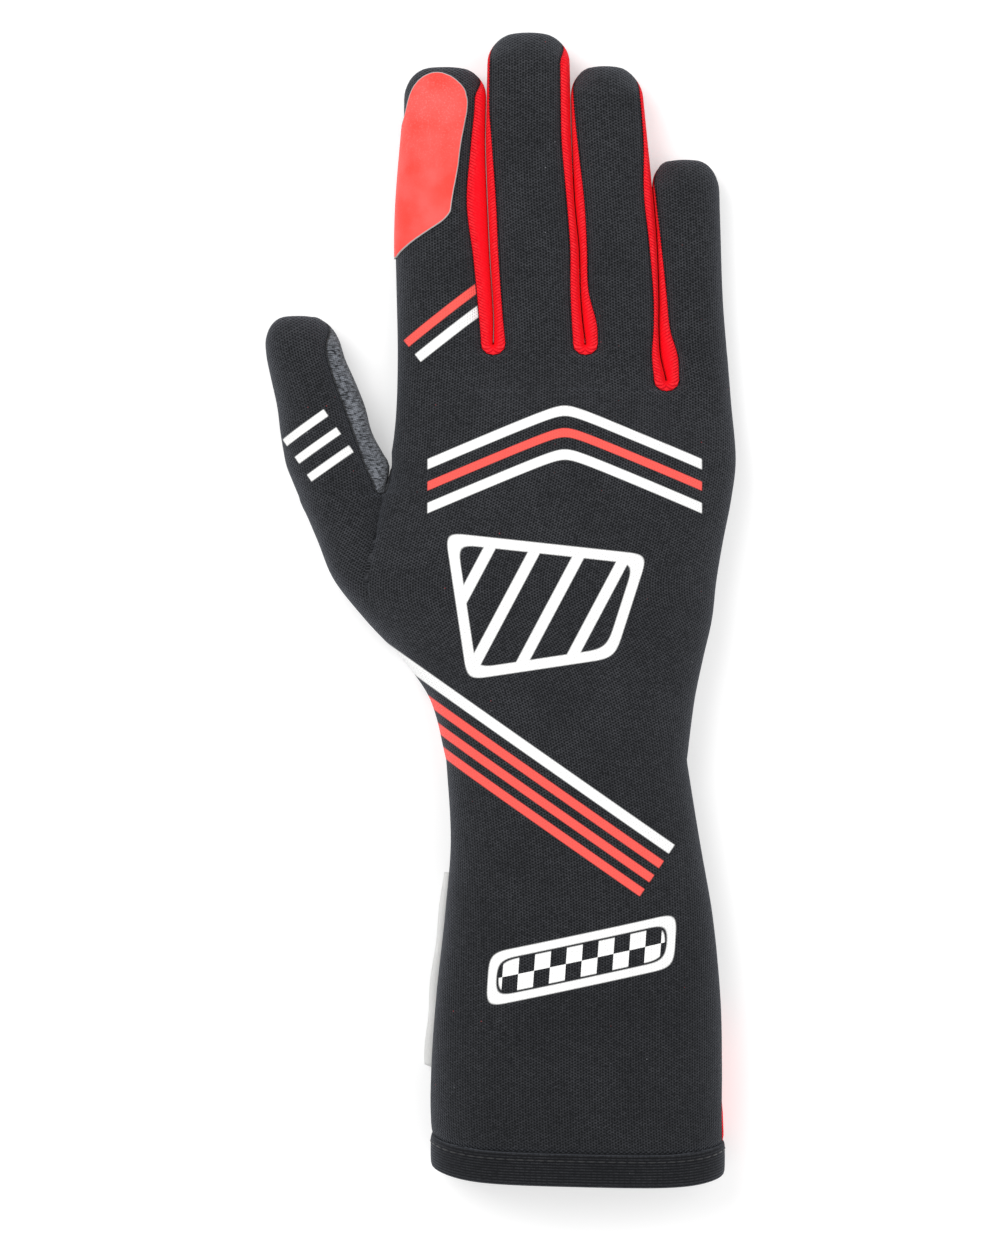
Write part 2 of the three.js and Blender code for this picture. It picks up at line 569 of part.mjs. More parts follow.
// A bent sheet of cloth: its two faces point by point, and the quads that they share.
class Sheet {
  constructor(flipped) {
    this.faces = [[], []];
    this.quads = [];
    this.flipped = flipped;
  }
  // Each entry of the grid is a pair of points or the number of a point that is already there.
  add(grid) {
    const numbered = (entry) => (typeof entry === "number" ? entry : this.point(entry));
    const at = grid.map((row) => row.map(numbered));
    for (let i = 0; i + 1 < at.length; i++)
      for (let j = 0; j + 1 < at[i].length; j++) {
        const quad = [at[i][j], at[i][j + 1], at[i + 1][j + 1], at[i + 1][j]];
        this.quads.push(this.flipped ? quad.reverse() : quad);
      }
    return at;
  }
  point(pair) {
    this.faces.forEach((points, i) => points.push(pair[i]));
    return this.faces[0].length - 1;
  }
  // The edges that only one quad has, each with that quad.
  rim() {
    const seen = new Map();
    for (const quad of this.quads)
      quad.forEach((a, i) => {
        const b = quad[(i + 1) % 4];
        const key = Math.min(a, b) + "_" + Math.max(a, b);
        if (a !== b) seen.set(key, seen.has(key) ? null : { a, b, quad });
      });
    return [...seen.values()].filter(Boolean);
  }
  // Draws the rim back from its neighbours along the cloth.
  pullBack(distance) {
    const rim = this.rim();
    for (const points of this.faces) {
      const inward = new Map();
      for (const { a, b, quad } of rim) {
        const across = points[quad[2]].clone().sub(points[quad[0]]);
        const normal = across.cross(points[quad[3]].clone().sub(points[quad[1]]));
        const way = normal.cross(points[b].clone().sub(points[a])).normalize();
        for (const v of [a, b]) inward.set(v, [...(inward.get(v) ?? []), way]);
      }
      for (const [v, ways] of inward) {
        const sum = ways.reduce((total, way) => total.add(way), new THREE.Vector3()).normalize();
        points[v].addScaledVector(sum, distance / Math.max(0.35, sum.dot(ways[ways.length - 1])));
      }
    }
    return this;
  }
  solid() {
    const n = this.faces[0].length;
    const index = [];
    const face = (...corners) => {
      if (new Set(corners).size === 3) index.push(...corners);
    };
    for (const [a, b, c, d] of this.quads) {
      face(a, b, c);
      face(a, c, d);
      face(n + c, n + b, n + a);
      face(n + d, n + c, n + a);
    }
    for (const { a, b } of this.rim()) {
      if (isAhead(this.faces[0][a], this.faces[0][b])) index.push(b, a, n + b, a, n + a, n + b);
      else index.push(b, a, n + a, b, n + a, n + b);
    }
    return mesh(this.faces.flat(), index);
  }
}
// Neighbours split the walls of a shared seam the same way.
function isAhead(p, q) {
  const apart = p.clone().sub(q);
  const along = ["y", "x", "z"].find((axis) => Math.abs(apart[axis]) > 0.6) ?? "y";
  return apart[along] > 0;
}
// The open end draws back at its sides.
function bowed({ x, y, z }) {
  const { left, right } = wholeSection(Math.max(0, y));
  const aside = Math.min(1.1, Math.max(-1.1, (2 * x - left - right) / (right - left)));
  const drawn = HEM_BOW * Math.pow(aside, 6) - HEM_TILT * aside;
  return [x, y + drawn * (1 - ease(0, 0.62 * CUFF_LENGTH, y)), z];
}
function mesh(points, index) {
  const geometry = new THREE.BufferGeometry();
  geometry.setAttribute("position", new THREE.Float32BufferAttribute(points.flatMap(bowed), 3));
  geometry.setIndex(index);
  geometry.computeVertexNormals();
  return geometry;
}

// Back or palm: five strips side by side, sewn to each other below the webs.
function combSheet(pointOf, columns, from, to, flipped) {
  const sheet = new Sheet(flipped);
  let shared = new Map();
  for (let digit = 0; digit < 5; digit++) {
    const rows = digitRows(digit).filter((y) => y >= from - 1e-6 && y <= to + 1e-6);
    const grid = rows.map((y) =>
      columns[digit].map((c, j) => {
        const known = j === 0 && digit > 0 && y <= WEB_Y[digit - 1] + 1e-6 ? shared.get(y) : undefined;
        return known ?? [pointOf(digit, c, y, 0), pointOf(digit, c, y, WALL)];
      }),
    );
    const at = sheet.add(grid);
    shared = new Map(rows.map((y, i) => [y, at[i].at(-1)]));
  }
  return sheet.pullBack(SEAM_GAP / 2);
}
const OUTER_COLUMNS = [-1, -0.82, -0.62, -0.4, 0, 0.5, 1];
const INNER_COLUMNS = [-1, -0.5, 0, 0.5, 1];
const mirrored = (columns) => columns.map((c) => -c).reverse();
const BACK_COLUMNS = [OUTER_COLUMNS, OUTER_COLUMNS, INNER_COLUMNS, INNER_COLUMNS, mirrored(OUTER_COLUMNS)];
const PALM_COLUMNS = Array(5).fill([-1, -0.75, -0.5, 0.5, 0.75, 1]);

// A forked strip: down the left digit's side, round the web and up the right digit's side.
const WALL_STEPS = [0, 0.2, 0.4, 0.6, 0.8, 1];
function forkSheet(gap) {
  const sheet = new Sheet(true);
  const pairAt = (digit, side, v, row) =>
    [0, WALL].map((inset) => {
      const y = rowOf(digit, row, inset);
      if (row < WEB_Y[gap] + LIP) return webPoint(gap, side, webTurn(gap, row), v, inset);
      if (!isOuter(digit, side)) {
        const { x, z } = wallPoint(digit, side, v, y, inset);
        return new THREE.Vector3(x, y, z);
      }
      const s = lerp(highSeam(digit, row), lowSeam(digit, side, row), v);
      const { x, z } = sidePoint(digit, side, s, y, inset);
      return new THREE.Vector3(x, y, z);
    });
  const arm = (digit, side, from) => {
    const end = isOuter(digit, side) ? CROTCH_TURN : seamEnd(digit, side);
    const rows = digitRows(digit).filter((y) => y >= from && y <= end + 1e-6);
    return rows.map((y) => {
      if (y < end - 1e-6) return WALL_STEPS.map((v) => pairAt(digit, side, v, y));
      const point = sheet.point(pairAt(digit, side, 1, y));
      return WALL_STEPS.map(() => point);
    });
  };
  const left = arm(gap, 1, WEB_Y[gap] - 1e-6).reverse();
  const right = arm(gap + 1, -1, WEB_Y[gap] + 0.01);
  sheet.add([...left, ...right]);
  return sheet.pullBack((gap === 0 ? 1 : 0.5) * SEAM_GAP);
}

// The wedge between back and palm on the little finger's side of the cuff.
const WEDGE_STEPS = [0, 0.25, 0.5, 0.75, 1];
function wedgePoint(v, y, inset) {
  const { x, z } = sidePoint(4, 1, lerp(highSeam(4, y), lowSeam(4, 1, y), v), y, inset);
  return new THREE.Vector3(x, y, z);
}
function wedgeSheet() {
  const sheet = new Sheet(true);
  const rows = digitRows(4).filter((y) => y <= GUSSET_END + 1e-6);
  const pairAt = (v, y) => [wedgePoint(v, y, 0), wedgePoint(v, y, WALL)];
  const grid = rows.map((y) => {
    if (y < GUSSET_END - 1e-6) return WEDGE_STEPS.map((v) => pairAt(v, y));
    const point = sheet.point(pairAt(1, y));
    return WEDGE_STEPS.map(() => point);
  });
  sheet.add(grid.reverse());
  return sheet.pullBack(SEAM_GAP / 2);
}

// The folded hem round the open end.
function hemBand() {
  const end = HEM_WIDTH - SEAM_GAP / 2;
  const inner = HEM_WALL - HEM_BULGE;
  const profile = [
    { inset: 0, y: end },
    { inset: -HEM_BULGE, y: 0.86 * end },
    { inset: -HEM_BULGE, y: 0.12 * end },
    { inset: 0.15 * HEM_WALL, y: 0 },
    { inset: 0.6 * HEM_WALL, y: 0 },
    { inset: inner, y: 0.12 * end },
    { inset: inner, y: end },
  ];
  const ring = [];
  BACK_COLUMNS.forEach((columns, digit) =>
    columns.slice(1).forEach((c) => ring.push((y, inset) => backPoint(digit, c, y, inset))),
  );
  WEDGE_STEPS.slice(1).forEach((v) => ring.push((y, inset) => wedgePoint(v, y, inset)));
  [4, 3, 2, 1, 0].forEach((digit) =>
    PALM_COLUMNS[digit]
      .slice(0, -1)
      .reverse()
      .forEach((c) => ring.push((y, inset) => palmPoint(digit, c, y, inset))),
  );
  const points = ring.flatMap((station) =>
    profile.map(({ inset, y }) => station(HEM_WIDTH, inset).setY(y)),
  );
  const n = profile.length;
  const index = [];
  ring.forEach((_, i) =>
    profile.forEach((_, j) => {
      const [a, b] = [i * n + j, i * n + ((j + 1) % n)];
      const [c, d] = [((i + 1) % ring.length) * n + ((j + 1) % n), ((i + 1) % ring.length) * n + j];
      index.push(a, b, c, a, c, d);
    }),
  );
  return mesh(points, index);
}

// A thin film on the index finger's tip, cut off aslant below. right is its right edge, across the back.
const PATCH_LENGTH = 0.66 * INDEX_LENGTH;
const PATCH_SLANT = 0.22; // how far its lower edge rises towards the right, as a share of its length
const PATCH_ROWS = [
  { at: 0.0, right: 0.4 },
  { at: 0.3, right: 0.4 },
  { at: 0.65, right: 0.45 },
  { at: 1.0, right: 0.6 },
];
function patchSheet() {
  const sheet = new Sheet(false);
  const right = track(PATCH_ROWS, "right");
  const foot = TIP_Y[1] - PATCH_LENGTH;
  const top = TIP_Y[1] - 1.5 * TIP_ROUND;
  const pairAt = (c, y) => [backPoint(1, c, y, -TRIM_LIFT - TRIM_WALL), backPoint(1, c, y, -TRIM_LIFT)];
  const columns = [-0.82, -0.62, -0.4, -0.2, 0, 1];
  const grid = [0, 0.33, 0.67, 1].map((at) =>
    columns.map((c) => {
      const edge = c === 1 ? right(at) : c;
      const start = foot + PATCH_SLANT * PATCH_LENGTH * ((edge + 0.82) / 1.22);
      return pairAt(edge, lerp(start, top, at));
    }),
  );
  for (const [turn, edge] of [
    [TIP_TURNS[0], 0.5],
    [TIP_TURNS[1], 0.3],
    [TIP_TURNS[2], 0.06],
  ])
    grid.push(columns.map((c) => pairAt(c === 1 ? edge : c, tipRow(1, turn))));
  sheet.add(grid);
  return sheet;
}

// A blank tape that stands out from the cuff's seam on the thumb's side.
const LABEL_LENGTH = 0.49 * CUFF_LENGTH;
const LABEL_FOOT = 0.24 * CUFF_LENGTH;
function labelSheet() {
  const sheet = new Sheet(true);
  const grid = [0, 0.08, 0.3, 0.55, 0.8, 0.95, 1].map((at) => {
    const y = LABEL_FOOT + at * LABEL_LENGTH;
    const root = sidePoint(0, -1, 1.16, y, -SEAM_GAP - 0.1);
    const reach = LABEL_REACH * (at === 0 || at === 1 ? 0.8 : 1) * lerp(1, 0.75, at);
    return [0, 0.5, 1].map((u) => {
      const x = root.x - 0.1 - reach * u;
      const z = root.z + 1.2 * u - 1.8 * u * u;
      return [new THREE.Vector3(x, y, z + TRIM_WALL), new THREE.Vector3(x, y, z)];
    });
  });
  sheet.add(grid);
  return sheet;
}

const group = new THREE.Group();
function piece(name, geometry, color, roughness = 0.9) {
  const material = new THREE.MeshStandardMaterial({ color, roughness, metalness: 0 });
  const part = new THREE.Mesh(geometry, material);
  part.name = name;
  group.add(part);
}
const BLACK = 0x25282b;
const GREY = 0x4a4e53;
const RED = 0xe8141c;
piece("back_panel", combSheet(backPoint, BACK_COLUMNS, HEM_WIDTH, Infinity, false).solid(), BLACK);
piece("palm_panel", combSheet(palmPoint, PALM_COLUMNS, WRIST_Y, Infinity, true).solid(), GREY);
piece("cuff_palm", combSheet(palmPoint, PALM_COLUMNS, HEM_WIDTH, WRIST_Y, true).solid(), BLACK);
piece("thumb_gusset", forkSheet(0).solid(), GREY);
for (const gap of [1, 2, 3]) piece("fourchette_" + GAPS[gap].name, forkSheet(gap).solid(), RED);
piece("cuff_gusset", wedgeSheet().solid(), RED);
piece("cuff_hem", hemBand(), BLACK);
piece("index_tip_patch", patchSheet().solid(), 0xff5f57, 0.55);
piece("side_label", labelSheet().solid(), 0xf4f4f2, 0.8);

const box = new THREE.Box3().setFromObject(group);
const middle = box.getCenter(new THREE.Vector3());
group.children.forEach((part) => part.geometry.translate(-middle.x, -middle.y, -box.min.z));
export default group;
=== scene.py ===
"""A right-hand racing glove that lies on its palm, sewn from knitted and suede panels."""

import math

import bmesh
import bpy
from bpy.props import FloatProperty, FloatVectorProperty, PointerProperty
from bpy.types import Operator, Panel, PropertyGroup
from mathutils import Matrix, Vector, noise
from mathutils.bvhtree import BVHTree
from mathutils.kdtree import KDTree


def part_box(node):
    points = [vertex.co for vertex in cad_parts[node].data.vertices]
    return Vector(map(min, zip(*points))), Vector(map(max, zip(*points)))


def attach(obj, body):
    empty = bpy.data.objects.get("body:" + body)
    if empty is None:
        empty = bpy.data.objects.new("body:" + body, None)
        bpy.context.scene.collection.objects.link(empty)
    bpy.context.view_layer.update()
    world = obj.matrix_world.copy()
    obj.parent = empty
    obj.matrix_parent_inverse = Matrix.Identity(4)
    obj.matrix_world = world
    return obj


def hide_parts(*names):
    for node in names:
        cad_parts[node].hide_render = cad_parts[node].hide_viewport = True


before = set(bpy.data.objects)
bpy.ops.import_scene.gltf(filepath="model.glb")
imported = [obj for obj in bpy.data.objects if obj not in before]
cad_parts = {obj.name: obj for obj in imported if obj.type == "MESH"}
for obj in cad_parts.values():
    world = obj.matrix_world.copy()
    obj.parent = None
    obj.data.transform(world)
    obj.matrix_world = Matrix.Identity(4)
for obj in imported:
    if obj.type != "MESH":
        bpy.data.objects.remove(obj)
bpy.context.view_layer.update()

bl_info = {
    "name": "Racing Glove",
    "version": (1, 0, 0),
    "blender": (4, 5, 0),
    "location": "View3D > Sidebar > Glove",
    "description": "Builds a right-hand racing glove with a knitted back, red finger strips and a long cuff",
    "category": "Add Mesh",
}

# The glove's sizes in millimetres, from the open end (y 0) to the fingertips. X is 0 on the hand's axis.
CUFF_LENGTH = 115.0
PALM_LENGTH = 111.0
THUMB_LENGTH = 49.2
FINGER_LENGTHS = {1: 79.5, 2: 89.0, 3: 79.8, 4: 54.1}
CUFF_WIDTH = 79.3
WRIST_WIDTH = 65.3
HAND_WIDTH = 92.2
THUMB_WIDTH = 24.7
THUMB_REACH = 72.8
THUMB_ROOT_REACH = 73.4
CUFF_LEAN = 3.4
CUFF_HEIGHT = 31.0
WRIST_HEIGHT = 27.0
HAND_HEIGHT = 26.0
FINGER_HEIGHT = 17.0
THUMB_HEIGHT = 17.5
WALL = 1.9
SLOT = 0.4
LIP = 3.3
TIP_ROUND = 8.5
HEM_WIDTH = 9.3
HEM_WALL = 3.0
HEM_BULGE = 0.6
HEM_BOW = 2.7
HEM_TILT = 0.95
WRIST_SEAM = 1.03
SIDE_SEAM = 1.25
STRIP_SEAM = 1.3
FOLD_SEAM = 0.85
FLAT_FOOT = 1.64
GIRTH = 0.45
HAND_ROUND = 0.8
FINGER_ROUND = 0.9
HAND_FOOT = 0.36
FINGER_FOOT = 0.6
WALL_TURN = 0.6
FLOOR_PRESS = 1.08
TIP_POWER = 2.05
TIP_FLAT = 0.3
EDGE_DROP = 0.15
LIP_FULL = 0.38
LIP_SWELL = 0.6
ROOT_Y = CUFF_LENGTH + PALM_LENGTH
CROTCH_Y = CUFF_LENGTH + 0.656 * PALM_LENGTH
THUMB_BLEND = 0.29 * PALM_LENGTH
FINGER_BLEND = 0.17 * PALM_LENGTH
TIP_Y = {0: CROTCH_Y + THUMB_LENGTH, **{d: ROOT_Y + length for d, length in FINGER_LENGTHS.items()}}
CREST = {0: THUMB_HEIGHT, 1: FINGER_HEIGHT, 2: FINGER_HEIGHT, 3: 0.97 * FINGER_HEIGHT, 4: 0.9 * FINGER_HEIGHT}
WEB_Y = {0: CROTCH_Y, 1: ROOT_Y, 2: ROOT_Y, 3: ROOT_Y - 0.089 * PALM_LENGTH}
ROW_STEP = 1.6

# The same sections as the frame's, each table's columns as shares of the sizes above.
CUFF_ROWS = [
    {"at": 0.0, "flare": 1.0, "lean": 1.0, "height": 1.0},
    {"at": 0.17, "flare": 0.99, "lean": 0.82, "height": 0.9},
    {"at": 0.44, "flare": 0.83, "lean": 0.92, "height": 0.62},
    {"at": 0.64, "flare": 0.51, "lean": 0.96, "height": 0.3},
    {"at": 0.81, "flare": 0.16, "lean": 0.72, "height": 0.08},
    {"at": 1.0, "flare": 0.0, "lean": 0.0, "height": 0.0},
]
PALM_ROWS = [
    {"at": 0.0, "right": 0.0, "thumb": 0.0, "fold": 0.16, "height": 0.0, "knuckle": 0.0},
    {"at": 0.15, "right": 0.16, "thumb": 0.108, "fold": 0.1, "height": 0.4, "knuckle": 0.0},
    {"at": 0.25, "right": 0.33, "thumb": 0.29, "fold": 0.07, "height": 0.8, "knuckle": 0.0},
    {"at": 0.35, "right": 0.52, "thumb": 0.545, "fold": 0.05, "height": 1.0, "knuckle": 0.0},
    {"at": 0.446, "right": 0.61, "thumb": 0.757, "fold": 0.085, "height": 1.0, "knuckle": 0.0},
    {"at": 0.545, "right": 0.74, "thumb": 0.87, "fold": 0.14, "height": 1.0, "knuckle": 0.05},
    {"at": 0.65, "right": 0.91, "thumb": 0.99, "fold": 0.19, "height": 1.0, "knuckle": 0.14},
    {"at": 0.743, "right": 1.0, "thumb": 1.08, "fold": 0.2, "height": 1.0, "knuckle": 0.26},
    {"at": 0.891, "right": 0.92, "thumb": 1.1, "fold": 0.2, "height": 1.0, "knuckle": 0.5},
    {"at": 1.0, "right": 0.85, "thumb": 1.1, "fold": 0.2, "height": 1.0, "knuckle": 0.7},
]
HAND_SIDE_ROWS = [
    {"at": 0.38, "side": 1.17},
    {"at": 0.45, "side": 1.185},
    {"at": 0.54, "side": 1.135},
    {"at": 0.66, "side": 1.077},
    {"at": 0.74, "side": 1.042},
    {"at": 0.85, "side": 1.012},
    {"at": 1.0, "side": 1.0},
    {"at": 1.33, "side": 1.007},
    {"at": 1.6, "side": 0.96},
]
LITTLE_SIDE_ROWS = [
    {"at": 1.0, "side": 0.955},
    {"at": 1.14, "side": 0.929},
    {"at": 1.32, "side": 0.914},
    {"at": 1.5, "side": 0.9},
]
GAP_ROWS = {
    1: [
        {"at": 0.0, "x": -0.436, "left": 1.0, "right": 1.0},
        {"at": 0.037, "x": -0.436, "left": 1.0, "right": 1.0},
        {"at": 0.12, "x": -0.434, "left": 1.2, "right": 0.75},
        {"at": 0.3, "x": -0.455, "left": 1.38, "right": 0.7},
        {"at": 0.47, "x": -0.47, "left": 1.72, "right": 0.7},
        {"at": 0.65, "x": -0.482, "left": 1.2, "right": 0.52},
        {"at": 0.77, "x": -0.478, "left": 0.95, "right": 0.25},
        {"at": 1.0, "x": -0.468, "left": 0.9, "right": 0.2},
    ],
    2: [
        {"at": 0.0, "x": 0.112, "left": 1.0, "right": 1.0},
        {"at": 0.05, "x": 0.11, "left": 1.0, "right": 1.05},
        {"at": 0.1, "x": 0.098, "left": 0.92, "right": 1.12},
        {"at": 0.2, "x": 0.083, "left": 0.83, "right": 0.65},
        {"at": 0.33, "x": 0.076, "left": 0.75, "right": 0.62},
        {"at": 0.47, "x": 0.05, "left": 0.66, "right": 0.78},
        {"at": 0.66, "x": 0.032, "left": 0.85, "right": 0.45},
        {"at": 0.8, "x": 0.026, "left": 0.85, "right": 0.2},
        {"at": 1.0, "x": 0.018, "left": 0.8, "right": 0.2},
    ],
    3: [
        {"at": -0.12, "x": 0.6, "left": 1.0, "right": 1.0},
        {"at": -0.08, "x": 0.592, "left": 1.0, "right": 1.08},
        {"at": 0.0, "x": 0.56, "left": 0.72, "right": 1.42},
        {"at": 0.09, "x": 0.55, "left": 0.45, "right": 0.92},
        {"at": 0.2, "x": 0.55, "left": 0.45, "right": 0.65},
        {"at": 0.4, "x": 0.538, "left": 0.68, "right": 0.3},
        {"at": 0.55, "x": 0.518, "left": 0.8, "right": 0.15},
        {"at": 0.75, "x": 0.483, "left": 0.36, "right": 0.12},
        {"at": 1.0, "x": 0.44, "left": 0.3, "right": 0.1},
    ],
}
GAP_ALONG = {1: FINGER_LENGTHS[2], 2: FINGER_LENGTHS[2], 3: FINGER_LENGTHS[3]}
GAP_NAMES = {1: "index_middle", 2: "middle_ring", 3: "ring_little"}
LANES = {1: {"root": 0.286, "wrist": 0.27}, 2: {"root": 0.566, "wrist": 0.52}, 3: {"root": 0.81, "wrist": 0.76}}
THUMB_ROWS = [
    {"at": 0.0, "middle": 0.847, "half": 0.95, "lip": 0.02},
    {"at": 0.085, "middle": 0.853, "half": 1.05, "lip": 0.17},
    {"at": 0.17, "middle": 0.862, "half": 1.13, "lip": 0.27},
    {"at": 0.24, "middle": 0.88, "half": 1.08, "lip": 0.24},
    {"at": 0.35, "middle": 0.906, "half": 1.0, "lip": 0.2},
    {"at": 0.5, "middle": 0.926, "half": 0.955, "lip": 0.23},
    {"at": 0.65, "middle": 0.957, "half": 0.9, "lip": 0.22},
    {"at": 0.78, "middle": 0.985, "half": 0.84, "lip": 0.18},
    {"at": 1.0, "middle": 1.01, "half": 0.78, "lip": 0.1},
]

# The patch from its slanted lower edge to its rounded top, with its sides as x.
PATCH_LENGTH = 0.66 * FINGER_LENGTHS[1]
PATCH_TOP = 2.4
PATCH_RISE = 11.2
PATCH_CORNER = 2.3
PATCH_LEFT = -46.0
PATCH_WIDTH = 15.5
PATCH_MIDDLE = -35.5
PATCH_ROUND = 0.2
PATCH_ROWS = [
    {"at": 0.0, "left": -48.0, "right": -31.2},
    {"at": 0.27, "left": -48.0, "right": -30.5},
    {"at": 0.45, "left": -48.0, "right": -29.9},
    {"at": 0.63, "left": -46.0, "right": -28.7},
    {"at": 0.8, "left": -43.4, "right": -27.5},
    {"at": 1.0, "left": -43.2, "right": -27.5},
]
LABEL_REACH = 2.7
LABEL_LENGTH = 0.49 * CUFF_LENGTH
LABEL_FOOT = 0.24 * CUFF_LENGTH


def lerp(a, b, t):
    return a + (b - a) * t


def clamp(t):
    return min(1.0, max(0.0, t))


def ease(start, end, y):
    t = clamp((y - start) / (end - start))
    return t * t * (3 - 2 * t)


def track(rows, column):
    """A smooth curve through one column of a table."""
    ats = [row["at"] for row in rows]
    values = [row[column] for row in rows]
    last = len(rows) - 1
    slopes = []
    for i in range(len(rows)):
        a, b = max(0, i - 1), min(last, i + 1)
        slopes.append((values[b] - values[a]) / (ats[b] - ats[a]))

    def value(at):
        if at <= ats[0]:
            return values[0]
        if at >= ats[last]:
            return values[last]
        i = next(k for k, start in enumerate(ats) if start > at) - 1
        step = ats[i + 1] - ats[i]
        t = (at - ats[i]) / step
        t2, t3 = t * t, t * t * t
        return (
            (2 * t3 - 3 * t2 + 1) * values[i]
            + (t3 - 2 * t2 + t) * step * slopes[i]
            + (3 * t2 - 2 * t3) * values[i + 1]
            + (t3 - t2) * step * slopes[i + 1]
        )

    return value


def tracks(rows):
    return {column: track(rows, column) for column in rows[0] if column != "at"}


CUFF = tracks(CUFF_ROWS)
PALM = tracks(PALM_ROWS)
HAND_SIDE = track(HAND_SIDE_ROWS, "side")
LITTLE_SIDE = track(LITTLE_SIDE_ROWS, "side")
THUMB = tracks(THUMB_ROWS)
GAP = {gap: tracks(rows) for gap, rows in GAP_ROWS.items()}


def palm_share(y):
    return (y - CUFF_LENGTH) / PALM_LENGTH


def whole_section(y):
    """The glove's outer sides and crest at y, the thumb's root included."""
    if y <= CUFF_LENGTH:
        at = y / CUFF_LENGTH
        half = (WRIST_WIDTH + (CUFF_WIDTH - WRIST_WIDTH) * CUFF["flare"](at)) / 2
        middle = CUFF_LEAN * CUFF["lean"](at)
        return middle - half, middle + half, lerp(WRIST_HEIGHT, CUFF_HEIGHT, CUFF["height"](at))
    at = palm_share(y)
    if at > 1:
        right = LITTLE_SIDE(at) * HAND_WIDTH / 2
    else:
        right = (WRIST_WIDTH + (HAND_WIDTH - WRIST_WIDTH) * PALM["right"](at)) / 2
    left = -lerp(WRIST_WIDTH / 2, THUMB_ROOT_REACH, PALM["thumb"](at))
    crest = lerp(lerp(WRIST_HEIGHT, HAND_HEIGHT, PALM["height"](at)), FINGER_HEIGHT, PALM["knuckle"](at))
    return left, right, crest


def hand_side(y):
    """The hand's own side beside the thumb."""
    left, right, _ = whole_section(y)
    at = palm_share(y)
    fold = lerp(0.2, 0.16, y / CUFF_LENGTH) if y <= CUFF_LENGTH else PALM["fold"](at)
    return lerp(lerp(left, right, fold), -HAND_SIDE(at) * HAND_WIDTH / 2, ease(0.34, 0.46, at))


def hand_section(y):
    _, right, crest = whole_section(y)
    return hand_side(y), right, crest


def crease(gap, y):
    """The line between a digit and the next one, as x."""
    if gap == 0:
        return hand_side(y)
    high = GAP[gap]["x"]((y - ROOT_Y) / GAP_ALONG[gap]) * HAND_WIDTH / 2
    side = hand_side(y)
    share = lerp(LANES[gap]["wrist"], LANES[gap]["root"], clamp(palm_share(y)))
    low = lerp(side, whole_section(y)[1], share)
    return lerp(low, high, ease(WEB_Y[gap] - FINGER_BLEND, WEB_Y[gap], y))


def lip_of(gap, side, y):
    """How much of a strip shows beside its crease."""
    if gap == 0:
        return THUMB_WIDTH * THUMB["lip"]((y - CROTCH_Y) / THUMB_LENGTH)
    return LIP * GAP[gap][side]((y - ROOT_Y) / GAP_ALONG[gap])


def tip_of(digit, y, inset):
    """How far a fingertip has narrowed and sunk at y."""
    tip = TIP_Y[digit] - inset

    def rounded(length):
        t = clamp((y - (tip - length)) / length)
        return max(0.0, 1 - t**TIP_POWER) ** (1 / TIP_POWER)

    return lerp(TIP_FLAT, 1, rounded(TIP_ROUND)), rounded(1.35 * TIP_ROUND)


class Section:
    """A digit's sides, crest and girth at y."""

    def __init__(self, digit, y, inset):
        across, self.up = tip_of(digit, y, inset)
        crest = CREST[digit]
        if digit == 0:
            at = (y - CROTCH_Y) / THUMB_LENGTH
            middle = -THUMB_REACH * THUMB["middle"](at)
            half = THUMB_WIDTH / 2 * THUMB["half"](at)
            left = lerp(whole_section(y)[0], middle - half, ease(-0.12, 0.1, at))
            right = hand_side(y) if at < 0 else min(middle + half, hand_side(y) - SLOT)
            crest = lerp(1.08, 1, ease(-0.4, 0.5, at)) * THUMB_HEIGHT
        else:
            left = hand_side(y) if digit == 1 else crease(digit - 1, y) + SLOT / 2
            right = whole_section(y)[1] if digit == 4 else crease(digit, y) - SLOT / 2
        self.middle = (left + right) / 2
        self.full = (right - left) / 2
        self.half = self.full * across
        self.girth = GIRTH * crest
        self.crest = self.girth + (crest - self.girth) * self.up


def tip_row(digit, turn):
    return TIP_Y[digit] - 1.5 * TIP_ROUND * (1 - math.sin(math.radians(turn)))


def is_outer(digit, side):
    return digit < 2 if side < 0 else digit == 4


def seam_end(digit, side):
    return tip_row(digit, 38 if is_outer(digit, side) else 58 if digit else 76)


def tip_seam(digit, side, y):
    """A side's seams close in on its widest line over the tip, later where a strip runs up to it."""
    start = tip_row(digit, 0 if is_outer(digit, side) else 18)
    return ease(start, seam_end(digit, side), y)


GUSSET_END = HEM_WIDTH + 0.36 * CUFF_LENGTH
GUSSET_TOP = 0.8
GUSSET_TURN = 0.38
CROTCH_TURN = CROTCH_Y + 0.24 * THUMB_LENGTH
WRIST_Y = WRIST_SEAM * CUFF_LENGTH


def gusset_share(y):
    return clamp((y - HEM_WIDTH) / (GUSSET_END - HEM_WIDTH))


def gusset_seam(y):
    """The cuff gusset's upper seam: straight down the side, and past its widest line."""
    share = gusset_share(y)
    if share < GUSSET_TURN:
        return lerp(GUSSET_TOP, 1, share / GUSSET_TURN)
    return lerp(1, SIDE_SEAM, ((share - GUSSET_TURN) / (1 - GUSSET_TURN)) ** (1 / HAND_FOOT))


def high_seam(digit, y):
    opened = SIDE_SEAM
    if digit == 1:
        opened = lerp(FOLD_SEAM, SIDE_SEAM, ease(CROTCH_Y + LIP, CROTCH_TURN, y))
    if digit == 4:
        opened = gusset_seam(y)
    return lerp(opened, 1, tip_seam(digit, 1 if digit == 4 else -1, y))


